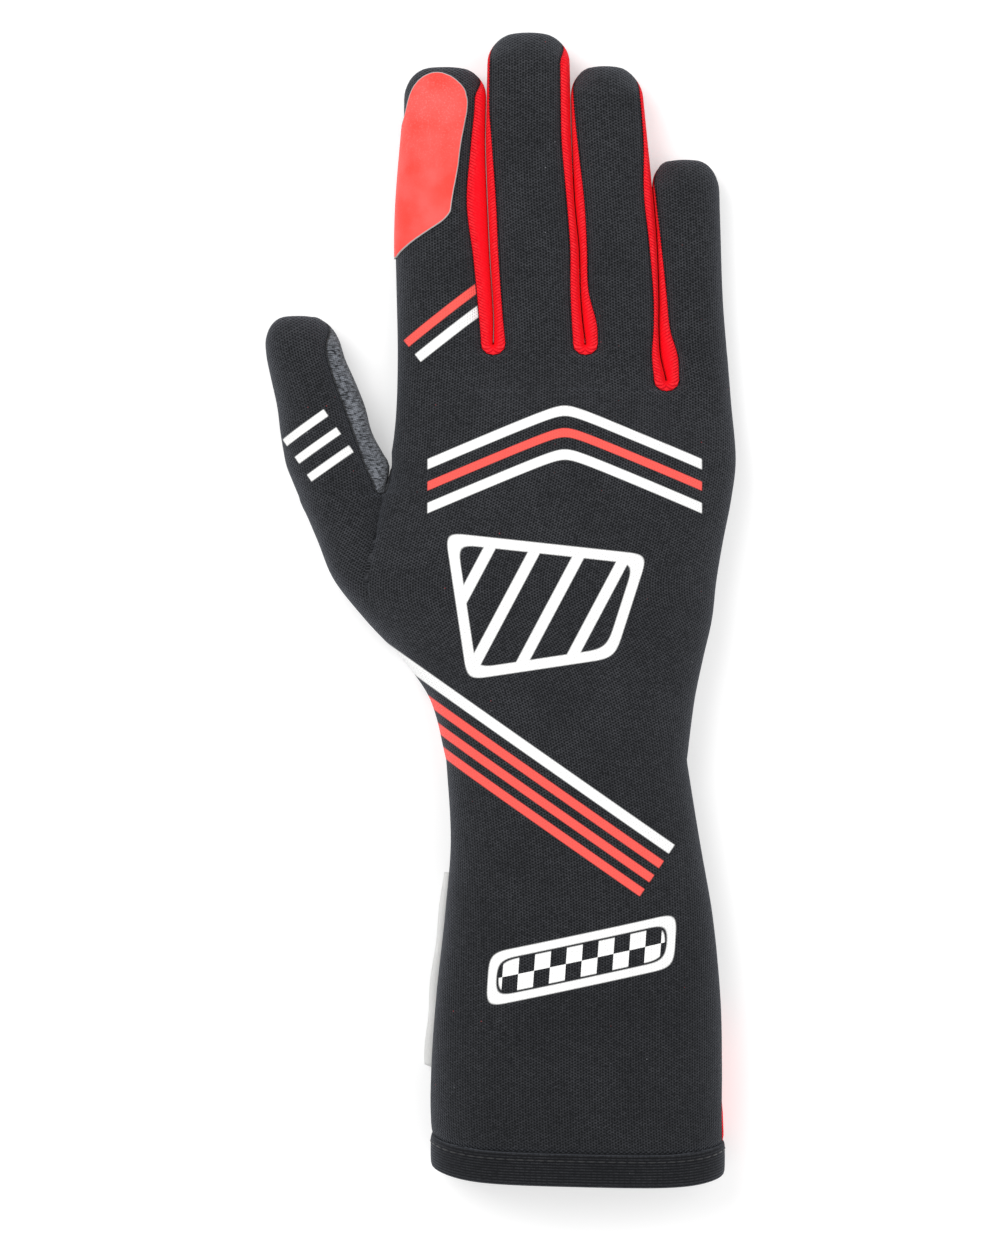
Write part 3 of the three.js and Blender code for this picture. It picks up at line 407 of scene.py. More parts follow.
def low_seam(digit, side, y):
    opened = SIDE_SEAM if is_outer(digit, side) else STRIP_SEAM
    if digit == 4 and side > 0:
        opened = lerp(1.45, SIDE_SEAM, ease(0, 1, gusset_share(y)))
    if not is_outer(digit, side):
        return lerp(opened, 1, ease(tip_row(digit, 45), seam_end(digit, side), y))
    return lerp(opened, 1, tip_seam(digit, side, y))


def thumb_share(y):
    return ease(CROTCH_Y - THUMB_BLEND, CROTCH_Y, y)


def finger_share(gap, y):
    return ease(WEB_Y[gap] - FINGER_BLEND, WEB_Y[gap], y)


def own_share(digit, c, y):
    if digit == 0:
        return thumb_share(y)
    return lerp(finger_share(max(1, digit - 1), y), finger_share(min(3, digit), y), (c + 1) / 2)


def crown(body, x, inset):
    left, right, crest = body
    half = (right - left) / 2 - inset
    girth = GIRTH * crest
    sine = min(1.0, abs(x - (left + right) / 2) / half) ** (1 / HAND_ROUND)
    lift = math.sqrt(max(0.0, 1 - sine * sine)) ** HAND_ROUND
    return girth + (crest - inset - girth) * lift


def body_height(digit, x, y, inset):
    whole = crown(whole_section(y), x, inset)
    return whole if digit == 0 else lerp(whole, crown(hand_section(y), x, inset), thumb_share(y))


def foot(middle, half, girth, side, s, rounding, inset):
    turn = math.pi / 2 * (s - 1)
    floor = max(0.0, inset)
    down = max(0.0, 1 - FLOOR_PRESS * max(0.0, math.sin(turn)) ** rounding)
    out = (half - inset) * max(0.0, math.cos(turn)) ** rounding
    return middle + side * out, floor + (girth - floor) * down


def mixed(a, b, t):
    return lerp(a[0], b[0], t), lerp(a[1], b[1], t)


def side_point(digit, side, s, y, inset):
    """A point of an outer side: s is 0 on the crest, 1 on the widest line and 2 at the foot."""
    own = Section(digit, y, inset)
    share = own_share(digit, side, y)
    if s <= 1:
        turn = math.pi / 2 * s
        x = own.middle + side * (own.half - inset * own.up) * math.sin(turn) ** FINGER_ROUND
        lift = max(0.0, math.cos(turn)) ** FINGER_ROUND
        z = own.girth + (own.crest - inset * own.up - own.girth) * lift
        return x, lerp(body_height(digit, x, y, inset), z, share)
    x, z = foot(own.middle, own.half, own.girth, side, s, FINGER_FOOT, inset * own.up)
    under = x, max(z, (1 - own.up) * own.girth)

    def of(body):
        left, right, crest = body
        return foot((left + right) / 2, (right - left) / 2, GIRTH * crest, side, s, HAND_FOOT, inset)

    body = mixed(of(whole_section(y)), of(hand_section(y)), 0 if digit == 0 else thumb_share(y))
    return mixed(body, under, share)


def wall_point(digit, side, v, y, inset):
    """A point of the wall between two digits: v is 0 at the back's edge and 1 at the palm's."""
    low = low_seam(digit, side, y)
    if is_outer(digit, side):
        return side_point(digit, side, lerp(high_seam(digit, y), low, v), y, inset)
    own = Section(digit, y, inset)
    wide = own.middle + side * (own.half - inset * own.up), own.girth
    gap = digit - 1 if side < 0 else digit
    lip = lip_of(gap, "right" if side < 0 else "left", y) * own.half / own.full
    x = own.middle + side * (own.half - lip - 0.5 * inset)
    z = own.crest - EDGE_DROP * own.crest * own.up - 0.85 * inset * own.up
    edge = mixed((x, max(z, own.girth)), wide, tip_seam(digit, side, y))
    if v <= WALL_TURN:
        turn = math.pi / 2 * v / WALL_TURN
        crest = lerp(wide[1], edge[1], max(0.0, math.cos(turn)) ** LIP_FULL)
        swell = LIP_SWELL * clamp(lip / LIP) * (1 - tip_seam(digit, side, y)) * math.sin(2 * turn)
        return lerp(edge[0], wide[0], math.sin(turn)), crest + swell
    s = lerp(1, low, (v - WALL_TURN) / (1 - WALL_TURN))
    x, z = foot(own.middle, own.half, own.girth, side, s, FINGER_FOOT, inset * own.up)
    return x, max(z, (1 - own.up) * own.girth)


def web_point(gap, side, turn, v, inset):
    """A point of the rounded web between two digits, from its bottom to where the digits start."""
    y = WEB_Y[gap] + LIP
    left = wall_point(gap, 1, v, y, inset)
    right = wall_point(gap + 1, -1, v, y, inset)
    mouth = (wall_point(gap + 1, -1, 0, y, 0)[0] - wall_point(gap, 1, 0, y, 0)[0]) / 2
    reach = lerp((right[0] - left[0]) / 2 / mouth, 1, ease(WALL_TURN, 1, v))
    arm = right if side < 0 else left
    sine = math.sin(turn)
    x = lerp((left[0] + right[0]) / 2, arm[0], sine)
    return x, y - LIP * reach * math.cos(turn), lerp((left[1] + right[1]) / 2, arm[1], sine)


def web_turn(gap, y):
    return math.acos(clamp((WEB_Y[gap] + LIP - y) / LIP))


def palm_line(gap, y):
    """Where the palms of two digits meet below their web."""
    left, right, _ = whole_section(y)
    if gap > 0:
        return crease(gap, y)
    return lerp(lerp(left, right, 0.27), crease(0, y), ease(CROTCH_Y - 0.14 * PALM_LENGTH, CROTCH_Y, y))


def row_of(digit, y, inset):
    return y - inset * ease(TIP_Y[digit] - 3 * TIP_ROUND, TIP_Y[digit], y)


def edge_at(digit, side, v, row, inset):
    """The edge of a digit's back (v = 0) or palm (v = 1) on one side, at any row."""
    gap = digit - 1 if side < 0 else digit
    if gap < 0 or gap > 3 or row >= WEB_Y[gap] + LIP:
        y = row_of(digit, row, inset)
        if is_outer(digit, side):
            s = low_seam(digit, side, row) if v else high_seam(digit, row)
            x, z = side_point(digit, side, s, y, inset)
        else:
            x, z = wall_point(digit, side, v, y, inset)
        return x, y, z
    if row >= WEB_Y[gap]:
        return web_point(gap, side, web_turn(gap, row), v, inset)
    if v == 1:
        return palm_line(gap, row), row, max(0.0, inset)
    x = crease(gap, row)
    own = web_point(gap, side, 0, 0, inset)[2]
    share = thumb_share(row) if gap == 0 else finger_share(gap, row)
    return x, row, lerp(body_height(gap, x, row, inset), own, share)


def back_point(digit, c, row, inset=0.0):
    """The back: digit 0 to 4 from the thumb, c from -1 at its left edge to 1 at its right edge."""
    y = row_of(digit, row, inset)
    side = -1 if c < 0 else 1
    q = abs(c)
    outer = ease(CROTCH_Y + LIP, CROTCH_TURN, row) if digit == 1 else 1
    if is_outer(digit, side) and outer > 0:
        x, z = side_point(digit, side, q * high_seam(digit, row), y, inset)
        if outer == 1:
            return x, y, z
        beside = x, y, z
    else:
        beside, outer = (0, 0, 0), 0
    own = Section(digit, y, inset)
    edge = edge_at(digit, side, 0, row, inset)
    turn = math.pi / 3.6
    sine = math.sin(q * turn) / math.sin(turn)
    drop = (1 - math.cos(q * turn)) / (1 - math.cos(turn))
    top = own.crest - inset * own.up
    share = own_share(digit, c, y)

    def height_at(x, fall):
        return lerp(body_height(digit, x, y, inset), lerp(top, edge[2], fall), share)

    x = lerp(own.middle, edge[0], sine)
    z = height_at(x, drop) + (edge[2] - height_at(edge[0], 1)) * q * q
    inner = x, lerp(y, edge[1], q * q), z
    return tuple(lerp(a, b, outer) for a, b in zip(inner, beside))


def share_at(x, y):
    """The share across the index finger's back at which x lies, as far as just past its side."""
    low, high = -0.86, 0.95
    for _ in range(20):
        middle = (low + high) / 2
        if back_point(1, middle, y)[0] < x:
            low = middle
        else:
            high = middle
    return low


def palm_point(digit, c, row, inset=0.0):
    """The palm: the same digits and edges, pressed flat by the floor."""
    y = row_of(digit, row, inset)
    own = Section(digit, y, inset)
    floor = max(max(0.0, inset) * own.up, (1 - own.up) * own.girth)

    def is_free(side):
        gap = digit - 1 if side < 0 else digit
        return gap < 0 or gap > 3 or row >= WEB_Y[gap] + LIP

    def under(side, s):
        if is_outer(digit, side):
            x, z = side_point(digit, side, s, y, inset)
        else:
            x, z = foot(own.middle, own.half, own.girth, side, s, FINGER_FOOT, inset * own.up)
        return x, max(z, floor)

    def corner(side):
        if is_free(side):
            return under(side, FLAT_FOOT)
        edge = edge_at(digit, side, 1, row, inset)
        return lerp(edge[0], edge_at(digit, -side, 1, row, inset)[0], 0.18), floor

    q = abs(c)
    side = -1 if c < 0 else 1
    if q <= 0.5:
        x, z = mixed(corner(-1), corner(1), c + 0.5)
        return x, y, z
    u = (q - 0.5) / 0.5
    if is_free(side) and u < 1:
        x, z = under(side, lerp(FLAT_FOOT, low_seam(digit, side, row), u))
        return x, y, z
    edge = edge_at(digit, side, 1, row, inset)
    x, z = corner(side)
    return lerp(x, edge[0], u), lerp(y, edge[1], u * u), lerp(z, edge[2], u * u)


# Where the glove's own millimetres lie in the frame. The hem is centred on its section and starts at y 0.
HEM_LOW, HEM_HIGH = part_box("cuff_hem")
HEM_SIDES = whole_section(HEM_WIDTH)
AXIS_X = (HEM_LOW.x + HEM_HIGH.x) / 2 - (HEM_SIDES[0] + HEM_SIDES[1]) / 2000


def drawn(aside):
    """How far the open end draws back, from -1 at its left side to 1 at its right side."""
    return HEM_BOW * aside**6 - HEM_TILT * aside


START_Y = HEM_LOW.y - min(drawn(i / 50) for i in range(51)) / 1000


def placed(point):
    """A point in metres in the frame."""
    x, y, z = point
    left, right, _ = whole_section(max(0.0, y))
    aside = min(1.1, max(-1.1, (2 * x - left - right) / (right - left)))
    y += drawn(aside) * (1 - ease(0, 0.62 * CUFF_LENGTH, y))
    return Vector((AXIS_X + x / 1000, START_Y + y / 1000, z / 1000))


def between(marks, step):
    """Evenly spaced rows from mark to mark, with every mark kept."""
    rows = [marks[0]]
    for a, b in zip(marks, marks[1:]):
        count = max(1, round((b - a) / step))
        rows += [lerp(a, b, i / count) for i in range(1, count + 1)]
    return rows


def web_rows(gap):
    turns = (10, 20, 30, 40, 50, 60, 70, 80, 90)
    return [WEB_Y[gap] + LIP * (1 - math.cos(math.radians(turn))) for turn in turns]


def digit_rows(digit):
    """The rows that a digit is drawn through. Digits that touch share them."""
    rows = between([HEM_WIDTH, GUSSET_END, WRIST_Y, CROTCH_Y], ROW_STEP) + web_rows(0)
    if digit > 0:
        rows += between([rows[-1], CROTCH_TURN, WEB_Y[3]], ROW_STEP)[1:] + web_rows(3)
    if 0 < digit < 4:
        rows += between([rows[-1], ROOT_Y], ROW_STEP)[1:] + web_rows(1)
    rows += between([rows[-1], TIP_Y[digit] - 1.5 * TIP_ROUND], ROW_STEP)[1:]
    return rows + [tip_row(digit, turn) for turn in (6, 12, 18, 25, 31, 38, 45, 52, 58, 64, 70, 76, 81, 86, 90)]


def spread(count, tight=0.45):
    """Columns from -1 to 1, closer together at both ends."""
    flat = [2 * i / count - 1 for i in range(count + 1)]
    return [lerp(t, math.sin(math.pi / 2 * t), tight) for t in flat]


def arc_lengths(points):
    """How far along a line each of its points lies."""
    lengths = [0.0]
    for a, b in zip(points, points[1:]):
        lengths.append(lengths[-1] + math.dist(a, b))
    return lengths


def add_grid(bm, points, cloth, flipped=False):
    """Lays a grid on rows of points, with the cloth's own map in millimetres."""
    layer = bm.loops.layers.uv.get("cloth") or bm.loops.layers.uv.new("cloth")
    rows, columns = len(points), len(points[0])
    made = bmesh.ops.create_grid(bm, x_segments=columns - 1, y_segments=rows - 1, size=1.0)["verts"]
    place = {}
    for vert in made:
        i = round((vert.co.y + 1) / 2 * (rows - 1))
        j = round((vert.co.x + 1) / 2 * (columns - 1))
        vert.co = placed(points[i][j])
        place[vert] = cloth[i][j]
    faces = list({face for vert in made for face in vert.link_faces})
    for face in faces:
        for loop in face.loops:
            loop[layer].uv = place[loop.vert]
    if flipped:
        bmesh.ops.reverse_faces(bm, faces=faces)


def add_comb(bm, point_of, columns, low, high, flipped=False):
    """Five strips side by side, one for each digit, sewn to each other below the webs."""
    points = {}
    arcs = {}
    rows_of = {}
    for digit in range(5):
        rows_of[digit] = [row for row in digit_rows(digit) if low - 1e-6 <= row <= high + 1e-6]
        for row in rows_of[digit]:
            points[digit, row] = [point_of(digit, c, row) for c in columns]
            arcs[digit, row] = arc_lengths(points[digit, row])
    middle = len(columns) // 2
    start = {}
    for digit in (2, 1, 0, 3, 4):
        crest = 0.0
        for row in rows_of[digit]:
            arc = arcs[digit, row]
            if digit < 2 and row <= WEB_Y[digit]:
                crest = start[digit + 1, row] - arc[-1] + arc[middle]
            elif digit > 2 and row <= WEB_Y[digit - 1]:
                crest = start[digit - 1, row] + arcs[digit - 1, row][-1] + arc[middle]
            start[digit, row] = crest - arc[middle]
        rows = [points[digit, row] for row in rows_of[digit]]
        cloth = [
            [(start[digit, row] + along, point[1]) for along, point in zip(arcs[digit, row], points[digit, row])]
            for row in rows_of[digit]
        ]
        add_grid(bm, rows, cloth, flipped)


def edge_tree(bm, step=0.0004):
    """A search tree of points along the sewn edges."""
    points = []
    for edge in bm.edges:
        if edge.is_boundary:
            a, b = (vert.co for vert in edge.verts)
            count = max(1, math.ceil((b - a).length / step))
            points += [a.lerp(b, i / count) for i in range(count + 1)]
    tree = KDTree(len(points))
    for i, point in enumerate(points):
        tree.insert(point, i)
    tree.balance()
    return tree


def relax(bm, centres, reach, rounds):
    """Smooths the cloth's height around some points. Its edges stay."""
    verts = [
        vert
        for vert in bm.verts
        if not vert.is_boundary and any((vert.co.xy - centre).length < reach for centre in centres)
    ]
    for _ in range(rounds):
        bmesh.ops.smooth_vert(bm, verts=verts, factor=0.5, use_axis_z=True)


def drape(point):
    """Soft unevenness of cloth that lies loosely filled, from -1 to 1."""
    broad = noise.noise(Vector((point.x / 0.034, point.y / 0.046, 3 + point.z / 0.05)))
    small = noise.noise(Vector((point.x / 0.011, point.y / 0.017, 9 + point.z / 0.02)))
    return 0.8 * broad + 0.2 * small


def settle(bm, puff, unevenness, seam=0.0013):
    """Swells the cloth beside its seams and lets it lie unevenly. The sewn edges stay where they are."""
    bmesh.ops.remove_doubles(bm, verts=bm.verts, dist=0.00002)
    tree = edge_tree(bm)
    layer = bm.verts.layers.float.new("seam")
    bm.normal_update()
    moves = {}
    for vert in bm.verts:
        apart = tree.find(vert.co)[2]
        vert[layer] = apart * 1000
        swell = puff * (1 - math.exp(-((apart / seam) ** 2)))
        swell += unevenness * drape(vert.co) * (1 - math.exp(-((apart / 0.006) ** 2)))
        moves[vert] = vert.normal * swell
    for vert, move in moves.items():
        vert.co += move
        vert.co.z = max(0.0, vert.co.z)


def finished(bm, name, material, replaced=(), wall=0.0):
    """Makes a piece of a bmesh: smooth, riding on the glove and the solids it stands for."""
    mesh = bpy.data.meshes.new(name)
    bm.to_mesh(mesh)
    bm.free()
    mesh.shade_smooth()
    mesh.materials.append(material)
    piece = bpy.data.objects.new(name, mesh)
    bpy.context.scene.collection.objects.link(piece)
    if wall:
        solid = piece.modifiers.new("wall", "SOLIDIFY")
        solid.thickness = wall
        solid.offset = -1.0
    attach(piece, "root")
    if replaced:
        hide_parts(*replaced)
    return piece


def fork_points(gap):
    """A forked strip: down the left digit's side, round the web and up the right digit's side."""
    steps = [lerp(i / 24, (i / 24) ** 2, 0.35) for i in range(25)]

    def line(digit, side, row):
        y = row_of(digit, row, 0)
        if row < WEB_Y[gap] + LIP:
            return [web_point(gap, side, web_turn(gap, row), v, 0) for v in steps]
        walls = [wall_point(digit, side, v, y, 0) for v in steps]
        return [(x, y, z) for x, z in walls]

    def arm(digit, side, start):
        end = CROTCH_TURN if is_outer(digit, side) else seam_end(digit, side)
        return [line(digit, side, row) for row in digit_rows(digit) if start <= row <= end + 1e-6]

    left = arm(gap, 1, WEB_Y[gap] - 1e-6)
    return left[::-1] + arm(gap + 1, -1, WEB_Y[gap] + 0.01), len(left) - 1


def strip_cloth(points, start=0):
    """A strip's own map: how far a point lies from the line it starts on, and across the strip."""
    along = arc_lengths([line[len(line) // 3] for line in points])
    return [
        [(abs(place - along[start]), across) for across in arc_lengths(line)] for place, line in zip(along, points)
    ]


def hem_points():
    """The folded hem: stations round the open end, each a closed profile of the band."""
    outer = [(-0.3, 0.955), (-0.5, 0.93), (-0.6, 0.87), (-0.64, 0.7), (-0.66, 0.5), (-0.64, 0.3), (-0.55, 0.12)]
    fold = [(-0.3, 0.04), (0.1, 0.01), (0.7, 0.0), (1.3, 0.0), (1.9, 0.02), (2.3, 0.07)]
    inner = [(2.4, 0.15), (2.4, 0.5), (2.4, 0.9), (2.2, 0.98), (1.2, 1.0), (0.2, 0.99), (0.0, 0.97), (-0.3, 0.955)]
    profile = outer + fold + inner
    columns = spread(20)
    stations = []
    for digit in range(5):
        stations += [lambda inset, d=digit, c=c: back_point(d, c, HEM_WIDTH, inset) for c in columns[:-1]]
    for i in range(10):
        stations.append(lambda inset, v=i / 10: wedge_point(v, HEM_WIDTH, inset))
    for digit in (4, 3, 2, 1, 0):
        stations += [lambda inset, d=digit, c=c: palm_point(d, c, HEM_WIDTH, inset) for c in columns[:0:-1]]
    stations.append(stations[0])
    rings = []
    for station in stations:
        line = []
        for inset, share in profile:
            x, _, z = station(inset)
            line.append((x, share * HEM_WIDTH, z))
        rings.append(line)
    return rings


def wedge_point(v, y, inset=0.0):
    x, z = side_point(4, 1, lerp(high_seam(4, y), low_seam(4, 1, y), v), y, inset)
    return x, y, z


class Recipe:
    """A material's nodes. Numbers that hold all over a surface are set on the shader's own sockets."""

    def __init__(self, name, **finish):
        self.material = bpy.data.materials.new(name)
        self.material.use_nodes = True
        self.tree = self.material.node_tree
        self.surface = self.tree.nodes["Principled BSDF"]
        for socket, value in finish.items():
            self.surface.inputs[socket.replace("_", " ")].default_value = value

    def feed(self, socket, value):
        if isinstance(value, bpy.types.NodeSocket):
            self.tree.links.new(value, socket)
        else:
            socket.default_value = value

    def calc(self, operation, *values):
        node = self.tree.nodes.new("ShaderNodeMath")
        node.operation = operation
        for socket, value in zip(node.inputs, values):
            self.feed(socket, value)
        return node.outputs[0]

    def smooth(self, value, low, high, to_low=0.0, to_high=1.0):
        node = self.tree.nodes.new("ShaderNodeMapRange")
        node.interpolation_type = "SMOOTHSTEP"
        for socket, given in zip(node.inputs, (value, low, high, to_low, to_high)):
            self.feed(socket, given)
        return node.outputs[0]

    def mix(self, share, a, b):
        node = self.tree.nodes.new("ShaderNodeMix")
        node.data_type = "RGBA"
        self.feed(node.inputs[0], share)
        self.feed(node.inputs[6], (*a, 1.0) if isinstance(a, (tuple, list)) else a)
        self.feed(node.inputs[7], (*b, 1.0) if isinstance(b, (tuple, list)) else b)
        return node.outputs[2]

    def join(self, x, y, z=0.0):
        node = self.tree.nodes.new("ShaderNodeCombineXYZ")
        for socket, value in zip(node.inputs, (x, y, z)):
            self.feed(socket, value)
        return node.outputs[0]

    def split(self, vector):
        node = self.tree.nodes.new("ShaderNodeSeparateXYZ")
        self.feed(node.inputs[0], vector)
        return node.outputs[0], node.outputs[1], node.outputs[2]

    def place(self):
        """Object coordinates in millimetres."""
        coordinates = self.tree.nodes.new("ShaderNodeTexCoord").outputs["Object"]
        node = self.tree.nodes.new("ShaderNodeVectorMath")
        node.operation = "SCALE"
        self.feed(node.inputs[0], coordinates)
        node.inputs["Scale"].default_value = 1000.0
        return node.outputs[0]

    def cloth(self):
        """The piece's own map, in millimetres across and along the cloth."""
        node = self.tree.nodes.new("ShaderNodeUVMap")
        node.uv_map = "cloth"
        x, y, _ = self.split(node.outputs[0])
        return x, y

    def seam(self):
        """How far a point lies from the nearest sewn edge, in millimetres."""
        node = self.tree.nodes.new("ShaderNodeAttribute")
        node.attribute_name = "seam"
        return node.outputs["Fac"]

    def noise(self, vector, scale, detail=2.0, roughness=0.5):
        node = self.tree.nodes.new("ShaderNodeTexNoise")
        for name, value in (("Vector", vector), ("Scale", scale), ("Detail", detail), ("Roughness", roughness)):
            self.feed(node.inputs[name], value)
        return node.outputs[0]

    def chance(self, vector):
        """A random number for each whole-numbered place."""
        node = self.tree.nodes.new("ShaderNodeTexWhiteNoise")
        self.feed(node.inputs["Vector"], vector)
        return node.outputs["Value"]

    def bump(self, height, distance, under=None):
        node = self.tree.nodes.new("ShaderNodeBump")
        node.inputs["Distance"].default_value = distance
        self.feed(node.inputs["Height"], height)
        if under:
            self.feed(node.inputs["Normal"], under)
        return node.outputs[0]

    def finish(self, colour, normal, roughness=None):
        self.feed(self.surface.inputs["Base Color"], colour)
        self.feed(self.surface.inputs["Normal"], normal)
        if roughness is not None:
            self.feed(self.surface.inputs["Roughness"], roughness)
        return self.material


def stitches(recipe, across, along, wale, course):
    """Staggered columns of stitches with pits between them. Gives their height and a random number for each."""
    column = recipe.calc("DIVIDE", across, 2 * wale)
    row = recipe.calc("DIVIDE", along, course)
    one, other = recipe.calc("ADD", column, row), recipe.calc("SUBTRACT", column, row)
    pit = recipe.calc("ABSOLUTE", recipe.calc("COSINE", recipe.calc("MULTIPLY", one, math.pi)))
    pit = recipe.calc(
        "MULTIPLY", pit, recipe.calc("ABSOLUTE", recipe.calc("COSINE", recipe.calc("MULTIPLY", other, math.pi)))
    )
    narrow = recipe.calc("ABSOLUTE", recipe.calc("COSINE", recipe.calc("MULTIPLY", column, 2 * math.pi)))
    pit = recipe.calc("MULTIPLY", pit, narrow)
    places = recipe.join(recipe.calc("FLOOR", one), recipe.calc("FLOOR", other))
    return recipe.calc("SUBTRACT", 1.0, pit), recipe.chance(places)


def lint(recipe, place, colour):
    """A few soft specks of light and red lint on the cloth."""
    for offset, tint, rarity in ((0.0, (0.3, 0.31, 0.33), 0.82), (40.0, (0.5, 0.05, 0.05), 0.87)):
        node = recipe.tree.nodes.new("ShaderNodeTexVoronoi")
        node.inputs["Scale"].default_value = 0.4
        shifted = recipe.tree.nodes.new("ShaderNodeVectorMath")
        shifted.operation = "ADD"
        recipe.feed(shifted.inputs[0], place)
        shifted.inputs[1].default_value = (offset, offset, 0.0)
        recipe.feed(node.inputs["Vector"], shifted.outputs[0])
        chance, size, _ = recipe.split(node.outputs["Color"])
        reach = recipe.calc("MULTIPLY_ADD", size, 0.06, 0.03)
        speck = recipe.smooth(recipe.calc("DIVIDE", node.outputs["Distance"], reach), 1.0, 0.4)
        rare = recipe.calc("GREATER_THAN", chance, rarity)
        strength = recipe.calc("MULTIPLY", recipe.calc("MULTIPLY", speck, rare), recipe.calc("MULTIPLY", size, 0.6))
        colour = recipe.mix(strength, colour, tint)
    return colour


def knit_finish(name, context, hem=False, prints=False):
    """Black knit with lighter stitches, ribbed along the hem, and the ink where the piece carries it."""
    made = bpy.data.materials.get(name)
    if made:
        return made
    sizes, colours = context.scene.glove_sizes, context.scene.glove_colours
    recipe = Recipe(name, Roughness=0.85, Sheen_Weight=0.14, Sheen_Roughness=0.5, Specular_IOR_Level=0.12)
    recipe.surface.inputs["Sheen Tint"].default_value = (0.8, 0.86, 1.0, 1.0)
    across, along = recipe.cloth()
    height, chance = stitches(recipe, across, along, sizes.wale * 1000, sizes.course * 1000)
    if hem:
        rib = recipe.calc("SINE", recipe.calc("DIVIDE", recipe.calc("MULTIPLY", along, math.pi), sizes.wale * 1000))
        height = recipe.calc("MULTIPLY", recipe.calc("ABSOLUTE", rib), recipe.calc("MULTIPLY_ADD", height, 0.25, 0.7))
    place = recipe.place()
    broad = recipe.noise(place, 0.06, 3.0)
    patchy = recipe.noise(place, 0.5, 2.0)
    fibre = recipe.noise(place, 2.8, 3.0, 0.7)
    shade = recipe.calc("MULTIPLY_ADD", chance, 0.35, recipe.smooth(fibre, 0.35, 0.65, 0.15, 1.0))
    # The stitches' height also darkens the pits between them: painted shade in the pits, over each stitch's own random
    # tone.
    tone = recipe.calc("MULTIPLY", recipe.calc("POWER", height, 2.4), shade)
    tone = recipe.calc("MULTIPLY", tone, recipe.smooth(broad, 0.3, 0.7, 0.88, 1.12))
    tone = recipe.calc("MULTIPLY", tone, recipe.smooth(patchy, 0.3, 0.7, 0.92, 1.08))
    tone = recipe.calc("MULTIPLY", tone, recipe.smooth(recipe.split(place)[1], -140.0, 20.0, 0.66, 1.0))
    colour = recipe.mix(tone, tuple(colours.knit), tuple(colours.fleck))
    colour = lint(recipe, place, colour)
    relief = recipe.calc("MULTIPLY_ADD", fibre, 0.35, height)
    if not hem:
        # Painted shade: the knit darkens to its darkest colour within a fraction of a millimetre of each sewn edge,
        # where the seam's groove lies.
        colour = recipe.mix(recipe.smooth(recipe.seam(), 0.75, 0.3, 0.0, 0.95), colour, tuple(colours.knit))
    if prints:
        white, coral = printed(recipe, place)
        colour = recipe.mix(coral, colour, tuple(colours.coral))
        colour = recipe.mix(white, colour, tuple(colours.white))
    return recipe.finish(colour, recipe.bump(relief, sizes.stitch_depth))


def band(recipe, value, centre, width, soft=0.22):
    """1 where a value lies within a band, fading over its edges."""
    apart = recipe.calc("ABSOLUTE", recipe.calc("SUBTRACT", value, centre))
    return recipe.smooth(apart, width / 2 + soft, width / 2 - soft)


def turned_by(recipe, x, y, centre, degrees):
    """A point's place along and across a line that is turned about a centre."""
    turn = math.radians(degrees)
    cos, sin = math.cos(turn), math.sin(turn)
    along = recipe.calc("MULTIPLY_ADD", x, cos, recipe.calc("MULTIPLY_ADD", y, sin, -centre[0] * cos - centre[1] * sin))
    across = recipe.calc("MULTIPLY_ADD", x, -sin, recipe.calc("MULTIPLY_ADD", y, cos, centre[0] * sin - centre[1] * cos))
    return along, across


def least(recipe, values, rounding):
    low = values[0]
    for value in values[1:]:
        low = recipe.calc("SMOOTH_MIN", low, value, rounding)
    return low


def most(recipe, values):
    high = values[0]
    for value in values[1:]:
        high = recipe.calc("MAXIMUM", high, value)
    return high


def within(recipe, corners, x, y, rounding=6.0):
    """How far a point lies inside a convex outline with rounded corners, which run anticlockwise."""
    sides = []
    for (ax, ay), (bx, by) in zip(corners, corners[1:] + corners[:1]):
        length = math.hypot(bx - ax, by - ay)
        nx, ny = (ay - by) / length, (bx - ax) / length
        sides.append(recipe.calc("MULTIPLY_ADD", x, nx, recipe.calc("MULTIPLY_ADD", y, ny, -ax * nx - ay * ny)))
    return least(recipe, sides, rounding)


